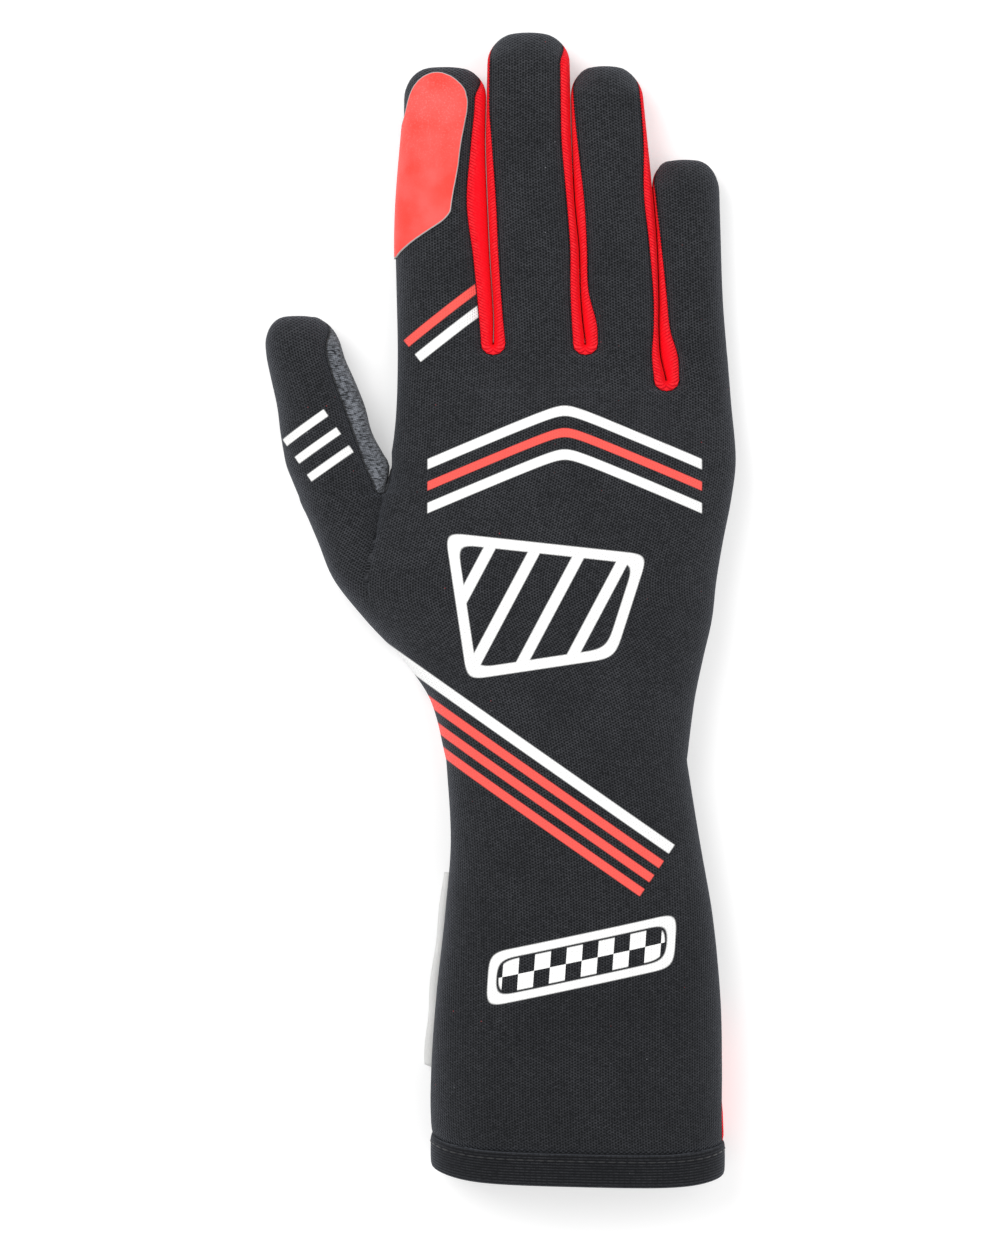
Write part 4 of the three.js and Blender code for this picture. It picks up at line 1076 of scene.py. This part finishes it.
def printed(recipe, place):
    """The ink on the back: plain chevrons, a barred frame, stripes and a checked bar."""
    x, y, _ = recipe.split(place)
    white = []
    coral = []
    soft = 0.22

    # Three chevrons across the knuckles.
    apart = recipe.calc("SUBTRACT", x, 17.5)
    apart = recipe.calc("SQRT", recipe.calc("MULTIPLY_ADD", apart, apart, 9.0))
    peak = recipe.calc("MULTIPLY_ADD", apart, 0.42, y)
    reach = recipe.smooth(apart, 37.5 + soft, 37.5 - soft)
    white.append(recipe.calc("MULTIPLY", band(recipe, peak, 54.5, 2.8), reach))
    coral.append(recipe.calc("MULTIPLY", band(recipe, peak, 48.5, 2.4), reach))
    white.append(recipe.calc("MULTIPLY", band(recipe, peak, 42.5, 2.8), reach))

    # A frame on the back of the hand with slanted bars in it.
    frame_at = within(recipe, [(-9.0, -20.0), (31.0, -14.0), (40.0, 14.0), (-15.0, 20.0)], x, y)
    edge = recipe.smooth(recipe.calc("ABSOLUTE", recipe.calc("SUBTRACT", frame_at, 1.4)), 1.4 + soft, 1.4 - soft)
    white.append(edge)
    bar, _ = turned_by(recipe, x, y, (14.0, 0.0), -28.0)
    bars = recipe.smooth(recipe.calc("PINGPONG", bar, 5.6), 1.5 - soft, 1.5 + soft)
    bars = recipe.calc("SUBTRACT", 1.0, bars)
    white.append(recipe.calc("MULTIPLY", bars, recipe.smooth(frame_at, 2.0, 2.5)))

    # Stripes from the thumb's side of the wrist down to the other side of the cuff.
    along, across = turned_by(recipe, x, y, (14.0, -55.0), -35.0)
    run = recipe.smooth(along, 33.0 + soft, 33.0 - soft)
    for centre in (-4.6, 0.0, 4.6):
        coral.append(recipe.calc("MULTIPLY", band(recipe, across, centre, 2.3), run))
    white.append(recipe.calc("MULTIPLY", band(recipe, across, 9.6, 2.8), run))

    # A slanted bar on the cuff with a row of checks.
    along, across = turned_by(recipe, x, y, (22.0, -96.0), 12.0)
    inside = within(recipe, [(-28.0, -7.0), (24.0, -7.0), (28.0, 7.0), (-24.0, 7.0)], along, across)
    white.append(recipe.smooth(recipe.calc("ABSOLUTE", recipe.calc("SUBTRACT", inside, 1.1)), 1.1 + soft, 1.1 - soft))
    skewed = recipe.calc("MULTIPLY_ADD", across, -0.29, along)
    column = recipe.calc("FLOOR", recipe.calc("DIVIDE", skewed, 4.4))
    row = recipe.calc("FLOOR", recipe.calc("DIVIDE", across, 4.4))
    check = recipe.calc("PINGPONG", recipe.calc("ADD", column, row), 1.0)
    white.append(recipe.calc("MULTIPLY", check, recipe.smooth(inside, 2.6, 3.0)))

    # Dashes across the thumb, and a pair of stripes at the index finger's root.
    along, across = turned_by(recipe, x, y, (-50.0, 44.0), 35.0)
    near = recipe.calc("MULTIPLY", recipe.smooth(recipe.calc("ABSOLUTE", along), 7.2, 6.8), recipe.smooth(x, -34.0, -36.0))
    for centre in (-6.0, 0.0, 6.0):
        white.append(recipe.calc("MULTIPLY", band(recipe, across, centre, 2.2), near))
    along, across = turned_by(recipe, x, y, (-14.0, 78.0), 38.0)
    near = recipe.smooth(recipe.calc("ABSOLUTE", along), 13.2, 12.8)
    coral.append(recipe.calc("MULTIPLY", band(recipe, across, 2.6, 2.3), near))
    white.append(recipe.calc("MULTIPLY", band(recipe, across, -2.6, 2.6), near))
    return most(recipe, white), most(recipe, coral)


def red_finish(name, context):
    """Red knit: ribs run across the strip beside its seam and fade towards the crease."""
    made = bpy.data.materials.get(name)
    if made:
        return made
    sizes, colours = context.scene.glove_sizes, context.scene.glove_colours
    recipe = Recipe(name, Roughness=0.75, Sheen_Weight=0.12, Sheen_Roughness=0.4, Specular_IOR_Level=0.1)
    recipe.surface.inputs["Sheen Tint"].default_value = (1.0, 0.2, 0.2, 1.0)
    along, across = recipe.cloth()
    line = recipe.calc("DIVIDE", recipe.calc("MULTIPLY_ADD", across, 0.5, along), sizes.rib * 1000)
    rib = recipe.calc("ABSOLUTE", recipe.calc("SINE", recipe.calc("MULTIPLY", line, math.pi)))
    row = recipe.calc("DIVIDE", across, 0.45)
    bead = recipe.calc("ABSOLUTE", recipe.calc("SINE", recipe.calc("MULTIPLY", row, math.pi)))
    beside = recipe.smooth(across, 3.0, 0.9, 0.2, 1.0)
    height = recipe.calc("MULTIPLY", recipe.calc("MULTIPLY", rib, beside), recipe.calc("MULTIPLY_ADD", bead, 0.25, 0.75))
    fibre = recipe.noise(recipe.place(), 2.2, 3.0, 0.7)
    chance = recipe.chance(recipe.join(recipe.calc("FLOOR", line), recipe.calc("FLOOR", row)))
    # Painted shade: the red is darker in the hollows between the ribs beside the seam.
    groove_shade_mask = recipe.calc("MULTIPLY", recipe.calc("SUBTRACT", 1.0, rib), beside)
    colour = recipe.mix(groove_shade_mask, tuple(colours.red), tuple(colours.red_groove_shade))
    lit = recipe.calc("MULTIPLY", height, recipe.calc("MULTIPLY_ADD", chance, 0.6, recipe.smooth(fibre, 0.35, 0.65, 0.0, 0.5)))
    colour = recipe.mix(lit, colour, tuple(colours.red_lit))
    reach = recipe.calc("MULTIPLY_ADD", rib, -0.3, recipe.seam())
    teeth = recipe.calc("MULTIPLY", recipe.smooth(reach, 0.12, -0.05), recipe.smooth(across, 2.0, 1.0))
    colour = recipe.mix(teeth, colour, tuple(colours.knit))
    return recipe.finish(colour, recipe.bump(recipe.calc("MULTIPLY_ADD", fibre, 0.35, height), sizes.rib_depth))


def heather_finish(name, context):
    """Grey heather knit of the thumb's strip, ribbed beside its seam."""
    made = bpy.data.materials.get(name)
    if made:
        return made
    sizes, colours = context.scene.glove_sizes, context.scene.glove_colours
    recipe = Recipe(name, Roughness=0.85, Sheen_Weight=0.15, Sheen_Roughness=0.5, Specular_IOR_Level=0.12)
    along, across = recipe.cloth()
    line = recipe.calc("DIVIDE", along, 0.62)
    rib = recipe.calc("ABSOLUTE", recipe.calc("SINE", recipe.calc("MULTIPLY", line, math.pi)))
    rib = recipe.calc("MULTIPLY", rib, recipe.smooth(across, 2.6, 0.9))
    height, chance = stitches(recipe, across, along, 0.6, 0.5)
    place = recipe.place()
    cloud = recipe.noise(place, 0.3, 4.0, 0.7)
    fleck = recipe.noise(recipe.join(recipe.calc("MULTIPLY", along, 2.6), recipe.calc("MULTIPLY", across, 0.9)), 0.8, 3.0)
    tone = recipe.calc("MULTIPLY_ADD", chance, 0.5, recipe.smooth(fleck, 0.38, 0.62, -0.1, 0.75))
    # The stitches' height darkens the pits between them: painted shade in the pits.
    tone = recipe.calc("MULTIPLY", tone, recipe.calc("MULTIPLY_ADD", height, 0.5, 0.6))
    tone = recipe.calc("MULTIPLY", tone, recipe.smooth(cloud, 0.3, 0.7, 0.7, 1.3))
    colour = recipe.mix(recipe.calc("MAXIMUM", tone, 0.0), tuple(colours.heather_low), tuple(colours.heather))
    # Painted shade: the strip darkens near its sewn edge, where the seam's groove lies.
    colour = recipe.mix(recipe.smooth(recipe.seam(), 0.6, 0.25, 0.0, 0.9), colour, tuple(colours.knit))
    relief = recipe.calc("MULTIPLY_ADD", rib, 1.2, recipe.calc("MULTIPLY_ADD", fleck, 1.5, height))
    return recipe.finish(colour, recipe.bump(relief, sizes.stitch_depth))


def suede_finish(name, context):
    made = bpy.data.materials.get(name)
    if made:
        return made
    colours = context.scene.glove_colours
    recipe = Recipe(name, Roughness=0.88, Sheen_Weight=0.4, Sheen_Roughness=0.5, Specular_IOR_Level=0.2)
    place = recipe.place()
    nap = recipe.noise(place, 0.35, 4.0, 0.65)
    grain = recipe.noise(place, 3.2, 4.0, 0.75)
    tone = recipe.calc("MULTIPLY_ADD", grain, 0.6, recipe.calc("MULTIPLY_ADD", nap, 0.9, -0.35))
    colour = recipe.mix(tone, tuple(colours.suede_low), tuple(colours.suede))
    return recipe.finish(colour, recipe.bump(grain, 0.00012, recipe.bump(nap, 0.0003)))


def film_finish(name, context):
    """Coral film with a thin pale rim. Its own map holds the distance to its edge."""
    made = bpy.data.materials.get(name)
    if made:
        return made
    colours = context.scene.glove_colours
    recipe = Recipe(name, Roughness=0.5, Specular_IOR_Level=0.3)
    apart, _ = recipe.cloth()
    place = recipe.place()
    _, y, _ = recipe.split(place)
    broad = recipe.noise(place, 0.12, 2.0)
    grain = recipe.noise(place, 2.0, 3.0, 0.7)
    # Painted sheen: the film turns paler pink in grainy spots towards its top, where it curves over the tip.
    top_sheen_mask = recipe.calc("MULTIPLY", recipe.smooth(grain, 0.5, 0.7), recipe.smooth(y, 112.0, 138.0, 0.1, 0.9))
    pale = recipe.calc("MULTIPLY_ADD", top_sheen_mask, 0.6, recipe.smooth(broad, 0.3, 0.7, 0.0, 0.3))
    colour = recipe.mix(pale, tuple(colours.film), (1.0, 0.17, 0.16))
    colour = recipe.mix(recipe.smooth(apart, 0.42, 0.2), colour, (0.4, 0.38, 0.38))
    relief = recipe.calc("MULTIPLY_ADD", broad, 2.0, grain)
    return recipe.finish(colour, recipe.bump(relief, 0.0001))


def tape_finish(name, context):
    """White woven tape."""
    made = bpy.data.materials.get(name)
    if made:
        return made
    colours = context.scene.glove_colours
    recipe = Recipe(name, Roughness=0.6, Sheen_Weight=0.2, Specular_IOR_Level=0.35)
    along, across = recipe.cloth()
    warp = recipe.calc("SINE", recipe.calc("MULTIPLY", across, 2 * math.pi / 0.3))
    weft = recipe.calc("SINE", recipe.calc("MULTIPLY", along, 2 * math.pi / 0.4))
    height = recipe.calc("MULTIPLY", warp, weft)
    tone = recipe.smooth(height, -1.0, 1.0)
    return recipe.finish(recipe.mix(tone, (0.72, 0.72, 0.7), tuple(colours.white)), recipe.bump(height, 0.00006))


def thread_finish(name, context):
    made = bpy.data.materials.get(name)
    if made:
        return made
    recipe = Recipe(name, Roughness=0.5, Sheen_Weight=0.2, Specular_IOR_Level=0.4)
    fibre = recipe.noise(recipe.place(), 4.0, 2.0, 0.6)
    colour = recipe.mix(fibre, (0.004, 0.004, 0.005), (0.014, 0.015, 0.017))
    return recipe.finish(colour, recipe.bump(fibre, 0.00005))


class GloveSizes(PropertyGroup):
    wall: FloatProperty(
        name="Cloth wall", description="Thickness of the sewn panels", default=0.0014, min=0.0005, unit="LENGTH"
    )
    puff: FloatProperty(
        name="Seam puff", description="How far the cloth swells beside a seam", default=0.0004, unit="LENGTH"
    )
    unevenness: FloatProperty(
        name="Unevenness", description="Height of the soft waves in the cloth", default=0.0005, unit="LENGTH"
    )
    wale: FloatProperty(
        name="Wale pitch", description="Distance between two columns of stitches", default=0.00075, unit="LENGTH"
    )
    course: FloatProperty(
        name="Course pitch", description="Distance between two rows of stitches", default=0.0008, unit="LENGTH"
    )
    stitch_depth: FloatProperty(
        name="Stitch depth", description="Height of the knit's relief", default=0.00022, unit="LENGTH"
    )
    rib: FloatProperty(
        name="Rib pitch", description="Distance between two ribs of a red strip", default=0.00085, unit="LENGTH"
    )
    rib_depth: FloatProperty(
        name="Rib depth", description="Height of the red ribs", default=0.0002, unit="LENGTH"
    )
    film: FloatProperty(
        name="Film thickness", description="Thickness of the patch on the index finger", default=0.0004, unit="LENGTH"
    )
    tape: FloatProperty(
        name="Tape thickness", description="Thickness of the side label", default=0.0005, unit="LENGTH"
    )
    stitch: FloatProperty(
        name="Hem stitch", description="Length of a stitch in the hem's row", default=0.0022, unit="LENGTH"
    )


def colour_property(name, description, default):
    return FloatVectorProperty(
        name=name, description=description, default=default, subtype="COLOR", min=0.0, max=1.0
    )


class GloveColours(PropertyGroup):
    # Knit is the dark colour that the pits and the sewn edges take as painted shade. Fleck is the colour of the
    # stitches' tops.
    knit: colour_property("Knit", "The black knit between its stitches", (0.0015, 0.0017, 0.0021))
    fleck: colour_property("Fleck", "The black knit's stitches", (0.046, 0.0475, 0.053))
    red: colour_property("Red", "The red strips", (0.86, 0.001, 0.009))
    # Painted shade in the hollows between the red ribs.
    red_groove_shade: colour_property("Red groove", "The red strips between their ribs", (0.5, 0.0, 0.008))
    red_lit: colour_property("Red highlight", "The tops of the red ribs", (1.0, 0.035, 0.045))
    heather: colour_property("Heather", "The light yarn of the thumb's strip", (0.2, 0.213, 0.24))
    heather_low: colour_property("Heather shade", "The dark yarn of the thumb's strip", (0.016, 0.018, 0.021))
    suede: colour_property("Suede", "The nap of the palm", (0.12, 0.13, 0.14))
    suede_low: colour_property("Suede shade", "The palm between its nap", (0.045, 0.05, 0.056))
    coral: colour_property("Coral", "The coral ink", (1.0, 0.11, 0.09))
    film: colour_property("Film", "The patch on the index fingertip", (0.95, 0.05, 0.035))
    white: colour_property("White", "The white ink and the label", (0.93, 0.93, 0.92))


class BuildBack(Operator):
    """Builds the knitted back with its printed bands"""

    bl_idname = "glove.back"
    bl_label = "Back"

    def execute(self, context):
        sizes = context.scene.glove_sizes
        bm = bmesh.new()
        add_comb(bm, back_point, spread(28), HEM_WIDTH, TIP_Y[2])
        bmesh.ops.remove_doubles(bm, verts=bm.verts, dist=0.00002)
        webs = [placed((crease(gap, WEB_Y[gap]), WEB_Y[gap], 0)).xy for gap in range(4)]
        relax(bm, webs, 0.011, 14)
        settle(bm, sizes.puff, sizes.unevenness)
        material = knit_finish("black knit with print", context, prints=True)
        finished(bm, "back_cloth", material, ["back_panel"], sizes.wall)
        return {"FINISHED"}


class BuildPalm(Operator):
    """Builds the suede palm and the knitted underside of the cuff"""

    bl_idname = "glove.palm"
    bl_label = "Palm"

    def execute(self, context):
        sizes = context.scene.glove_sizes
        for name, low, high, slot, material in (
            ("palm_suede", WRIST_Y, TIP_Y[2], "grey_suede", suede_finish("grey suede", context)),
            ("cuff_underside", HEM_WIDTH, WRIST_Y, "black_knit", knit_finish("black knit", context)),
        ):
            bm = bmesh.new()
            add_comb(bm, palm_point, spread(20, 0.2), low, high, flipped=True)
            settle(bm, sizes.puff, sizes.unevenness * 0.6)
            node = "palm_panel" if name == "palm_suede" else "cuff_palm"
            finished(bm, name, material, [node], sizes.wall)
        return {"FINISHED"}


class BuildStrips(Operator):
    """Builds the forked strips between the fingers and the gusset inside the thumb"""

    bl_idname = "glove.strips"
    bl_label = "Strips"

    def execute(self, context):
        sizes = context.scene.glove_sizes
        red = red_finish("red rib", context)
        grey = heather_finish("grey heather", context)
        for gap in range(4):
            points, web = fork_points(gap)
            bm = bmesh.new()
            add_grid(bm, points, strip_cloth(points, web), flipped=True)
            settle(bm, sizes.puff * 0.4, sizes.unevenness * 0.3, 0.0009)
            if gap:
                finished(bm, f"strip_{GAP_NAMES[gap]}", red, [f"fourchette_{GAP_NAMES[gap]}"], sizes.wall)
            else:
                finished(bm, "thumb_strip", grey, ["thumb_gusset"], sizes.wall)
        return {"FINISHED"}


class BuildWedge(Operator):
    """Builds the red wedge in the cuff's side seam"""

    bl_idname = "glove.wedge"
    bl_label = "Cuff wedge"

    def execute(self, context):
        sizes = context.scene.glove_sizes
        rows = [row for row in digit_rows(4) if row <= GUSSET_END + 1e-6]
        points = [[wedge_point(i / 12, row) for i in range(13)] for row in rows]
        bm = bmesh.new()
        add_grid(bm, points, strip_cloth(points))
        settle(bm, sizes.puff, 0.0, 0.0009)
        finished(bm, "cuff_wedge", red_finish("red rib", context), ["cuff_gusset"], sizes.wall)
        return {"FINISHED"}


class BuildHem(Operator):
    """Builds the folded hem with its row of stitches"""

    bl_idname = "glove.hem"
    bl_label = "Hem"

    def execute(self, context):
        sizes = context.scene.glove_sizes
        points = hem_points()
        round_it = arc_lengths([line[4] for line in points])
        cloth = [[(place, across) for across in arc_lengths(line)] for place, line in zip(round_it, points)]
        bm = bmesh.new()
        add_grid(bm, points, cloth)
        bmesh.ops.remove_doubles(bm, verts=bm.verts, dist=0.00002)
        bmesh.ops.recalc_face_normals(bm, faces=bm.faces)
        finished(bm, "hem_band", knit_finish("hem knit", context, hem=True), ["cuff_hem"])

        line = [placed((point[0], HEM_WIDTH - 2.2, point[2])) for point in (line[3] for line in points)]
        centre = sum(line, Vector()) / len(line)
        bm = bmesh.new()
        pitch = sizes.stitch * 1.25
        walked = 0.0
        for a, b in zip(line, line[1:]):
            step = (b - a).length
            while walked < step:
                spot = a.lerp(b, walked / step)
                way = (b - a).normalized()
                out = (spot - centre).normalized()
                side = way.cross(out).normalized()
                made = bmesh.ops.create_uvsphere(bm, u_segments=6, v_segments=5, radius=1.0)["verts"]
                for vert in made:
                    x, y, z = vert.co
                    vert.co = spot + way * z * sizes.stitch / 2 + side * x * 0.00022 + out * y * 0.00018
                    vert.co.z = max(0.0, vert.co.z)
                walked += pitch
            walked -= step
        finished(bm, "hem_stitches", thread_finish("black thread", context))
        return {"FINISHED"}


class BuildPatch(Operator):
    """Builds the coral film on the index fingertip"""

    bl_idname = "glove.patch"
    bl_label = "Fingertip patch"

    def execute(self, context):
        sizes = context.scene.glove_sizes
        surface = BVHTree.FromObject(bpy.data.objects["back_cloth"], context.evaluated_depsgraph_get())
        sides = tracks(PATCH_ROWS)
        foot = TIP_Y[1] - PATCH_LENGTH
        points = []
        for i in range(57):
            at = i / 40 * (1 - PATCH_ROUND) if i < 40 else 1 - PATCH_ROUND * (1 - math.sin(math.pi / 2 * (i - 40) / 16))
            rounded = math.sqrt(1 - max(0.0, 1 - (1 - at) / PATCH_ROUND) ** 2)
            y = lerp(foot, TIP_Y[1] - PATCH_TOP, at)
            left, right = (share_at(lerp(PATCH_MIDDLE, sides[side](at), rounded), y) for side in ("left", "right"))
            line = []
            for j in range(33):
                c = lerp(left, right, j / 32)
                across = clamp((back_point(1, c, y)[0] - PATCH_LEFT) / PATCH_WIDTH)
                rise = PATCH_RISE * across**0.78 + PATCH_CORNER * across**10
                line.append(back_point(1, c, y + rise * (1 - at) ** 1.3))
            points.append(line)
        bm = bmesh.new()
        add_grid(bm, points, [[(0.0, 0.0)] * 33 for _ in range(57)])
        bmesh.ops.remove_doubles(bm, verts=bm.verts, dist=0.00001)
        for vert in bm.verts:
            spot, normal, _, _ = surface.find_nearest(vert.co)
            vert.co = spot + normal * 0.0003
        tree = edge_tree(bm)
        layer = bm.loops.layers.uv["cloth"]
        for face in bm.faces:
            for loop in face.loops:
                loop[layer].uv = tree.find(loop.vert.co)[2] * 1000, loop.vert.co.y * 1000
        patch = finished(bm, "fingertip_film", film_finish("coral film", context), ["index_tip_patch"])
        film = patch.modifiers.new("film", "SOLIDIFY")
        film.thickness = sizes.film
        film.offset = 0.0
        return {"FINISHED"}


class BuildLabel(Operator):
    """Builds the blank tape in the cuff's side seam"""

    bl_idname = "glove.label"
    bl_label = "Side label"

    def execute(self, context):
        sizes = context.scene.glove_sizes
        points = []
        for i in range(49):
            at = i / 48
            y = LABEL_FOOT + at * LABEL_LENGTH
            x, z = side_point(0, -1, 1.16, y, -0.3)
            reach = LABEL_REACH * lerp(1, 0.75, at) * (1 + 0.08 * math.sin(at * 17))
            shares = [u / 8 for u in range(9)]
            points.append([(x - reach * u, y, z + 1.2 * u - 1.8 * u * u) for u in shares])
        bm = bmesh.new()
        add_grid(bm, points, strip_cloth(points), flipped=True)
        finished(bm, "side_tape", tape_finish("white tape", context), ["side_label"], sizes.tape)
        return {"FINISHED"}


class BuildStage(Operator):
    """Sets the pale floor, the soft lights and the camera straight above"""

    bl_idname = "glove.stage"
    bl_label = "Stage"

    def execute(self, context):
        scene = context.scene
        bm = bmesh.new()
        bmesh.ops.create_grid(bm, x_segments=2, y_segments=2, size=3.0)
        mesh = bpy.data.meshes.new("floor")
        bm.to_mesh(mesh)
        bm.free()
        mesh.transform(Matrix.Translation((0, 0, -0.0002)))
        floor = bpy.data.objects.new("floor", mesh)
        scene.collection.objects.link(floor)
        recipe = Recipe("pale floor", Roughness=0.7, Specular_IOR_Level=0.1)
        recipe.surface.inputs["Base Color"].default_value = (0.66, 0.66, 0.66, 1.0)
        recipe.surface.inputs["Emission Color"].default_value = (1.0, 1.0, 1.0, 1.0)
        recipe.surface.inputs["Emission Strength"].default_value = 0.4
        mesh.materials.append(recipe.material)

        world = bpy.data.worlds.new("studio")
        world.use_nodes = True
        world.node_tree.nodes["Background"].inputs["Color"].default_value = (1.0, 1.0, 1.0, 1.0)
        world.node_tree.nodes["Background"].inputs["Strength"].default_value = 0.64
        scene.world = world

        for name, spot, size, power in (
            ("key", (-0.55, 0.5, 1.15), 0.7, 10.0),
            ("fill", (0.75, 0.1, 1.0), 1.0, 4.0),
            ("low", (0.05, -0.9, 0.8), 0.8, 2.3),
        ):
            light = bpy.data.lights.new(name, "AREA")
            light.size = size
            light.energy = power
            lamp = bpy.data.objects.new(name, light)
            lamp.location = spot
            lamp.rotation_euler = (-Vector(spot)).to_track_quat("-Z", "Y").to_euler()
            scene.collection.objects.link(lamp)

        eye = bpy.data.cameras.new("camera")
        eye.lens = 90.0
        eye.sensor_fit = "VERTICAL"
        eye.sensor_height = 24.0
        eye.clip_end = 10.0
        camera = bpy.data.objects.new("camera", eye)
        camera.location = (-0.00014, -0.0051, 0.012 + 0.3431 * 90 / 24)
        scene.collection.objects.link(camera)
        scene.camera = camera
        scene.view_settings.view_transform = "Standard"
        return {"FINISHED"}


class GlovePanel(Panel):
    bl_idname = "VIEW3D_PT_glove"
    bl_label = "Racing Glove"
    bl_space_type = "VIEW_3D"
    bl_region_type = "UI"
    bl_category = "Glove"

    def draw(self, context):
        for builder in BUILDERS:
            self.layout.operator(builder.bl_idname)
        for group in (context.scene.glove_sizes, context.scene.glove_colours):
            box = self.layout.box()
            for name in group.__annotations__:
                box.prop(group, name)


BUILDERS = (BuildBack, BuildPalm, BuildStrips, BuildWedge, BuildHem, BuildPatch, BuildLabel, BuildStage)
CLASSES = (GloveSizes, GloveColours, *BUILDERS, GlovePanel)


def register():
    for cls in CLASSES:
        bpy.utils.register_class(cls)
    bpy.types.Scene.glove_sizes = PointerProperty(type=GloveSizes)
    bpy.types.Scene.glove_colours = PointerProperty(type=GloveColours)


def unregister():
    del bpy.types.Scene.glove_colours
    del bpy.types.Scene.glove_sizes
    for cls in reversed(CLASSES):
        bpy.utils.unregister_class(cls)


def main():
    register()
    bpy.ops.glove.stage()
    bpy.ops.glove.back()
    bpy.ops.glove.palm()
    bpy.ops.glove.strips()
    bpy.ops.glove.wedge()
    bpy.ops.glove.hem()
    bpy.ops.glove.patch()
    bpy.ops.glove.label()


if __name__ == "__main__":
    main()
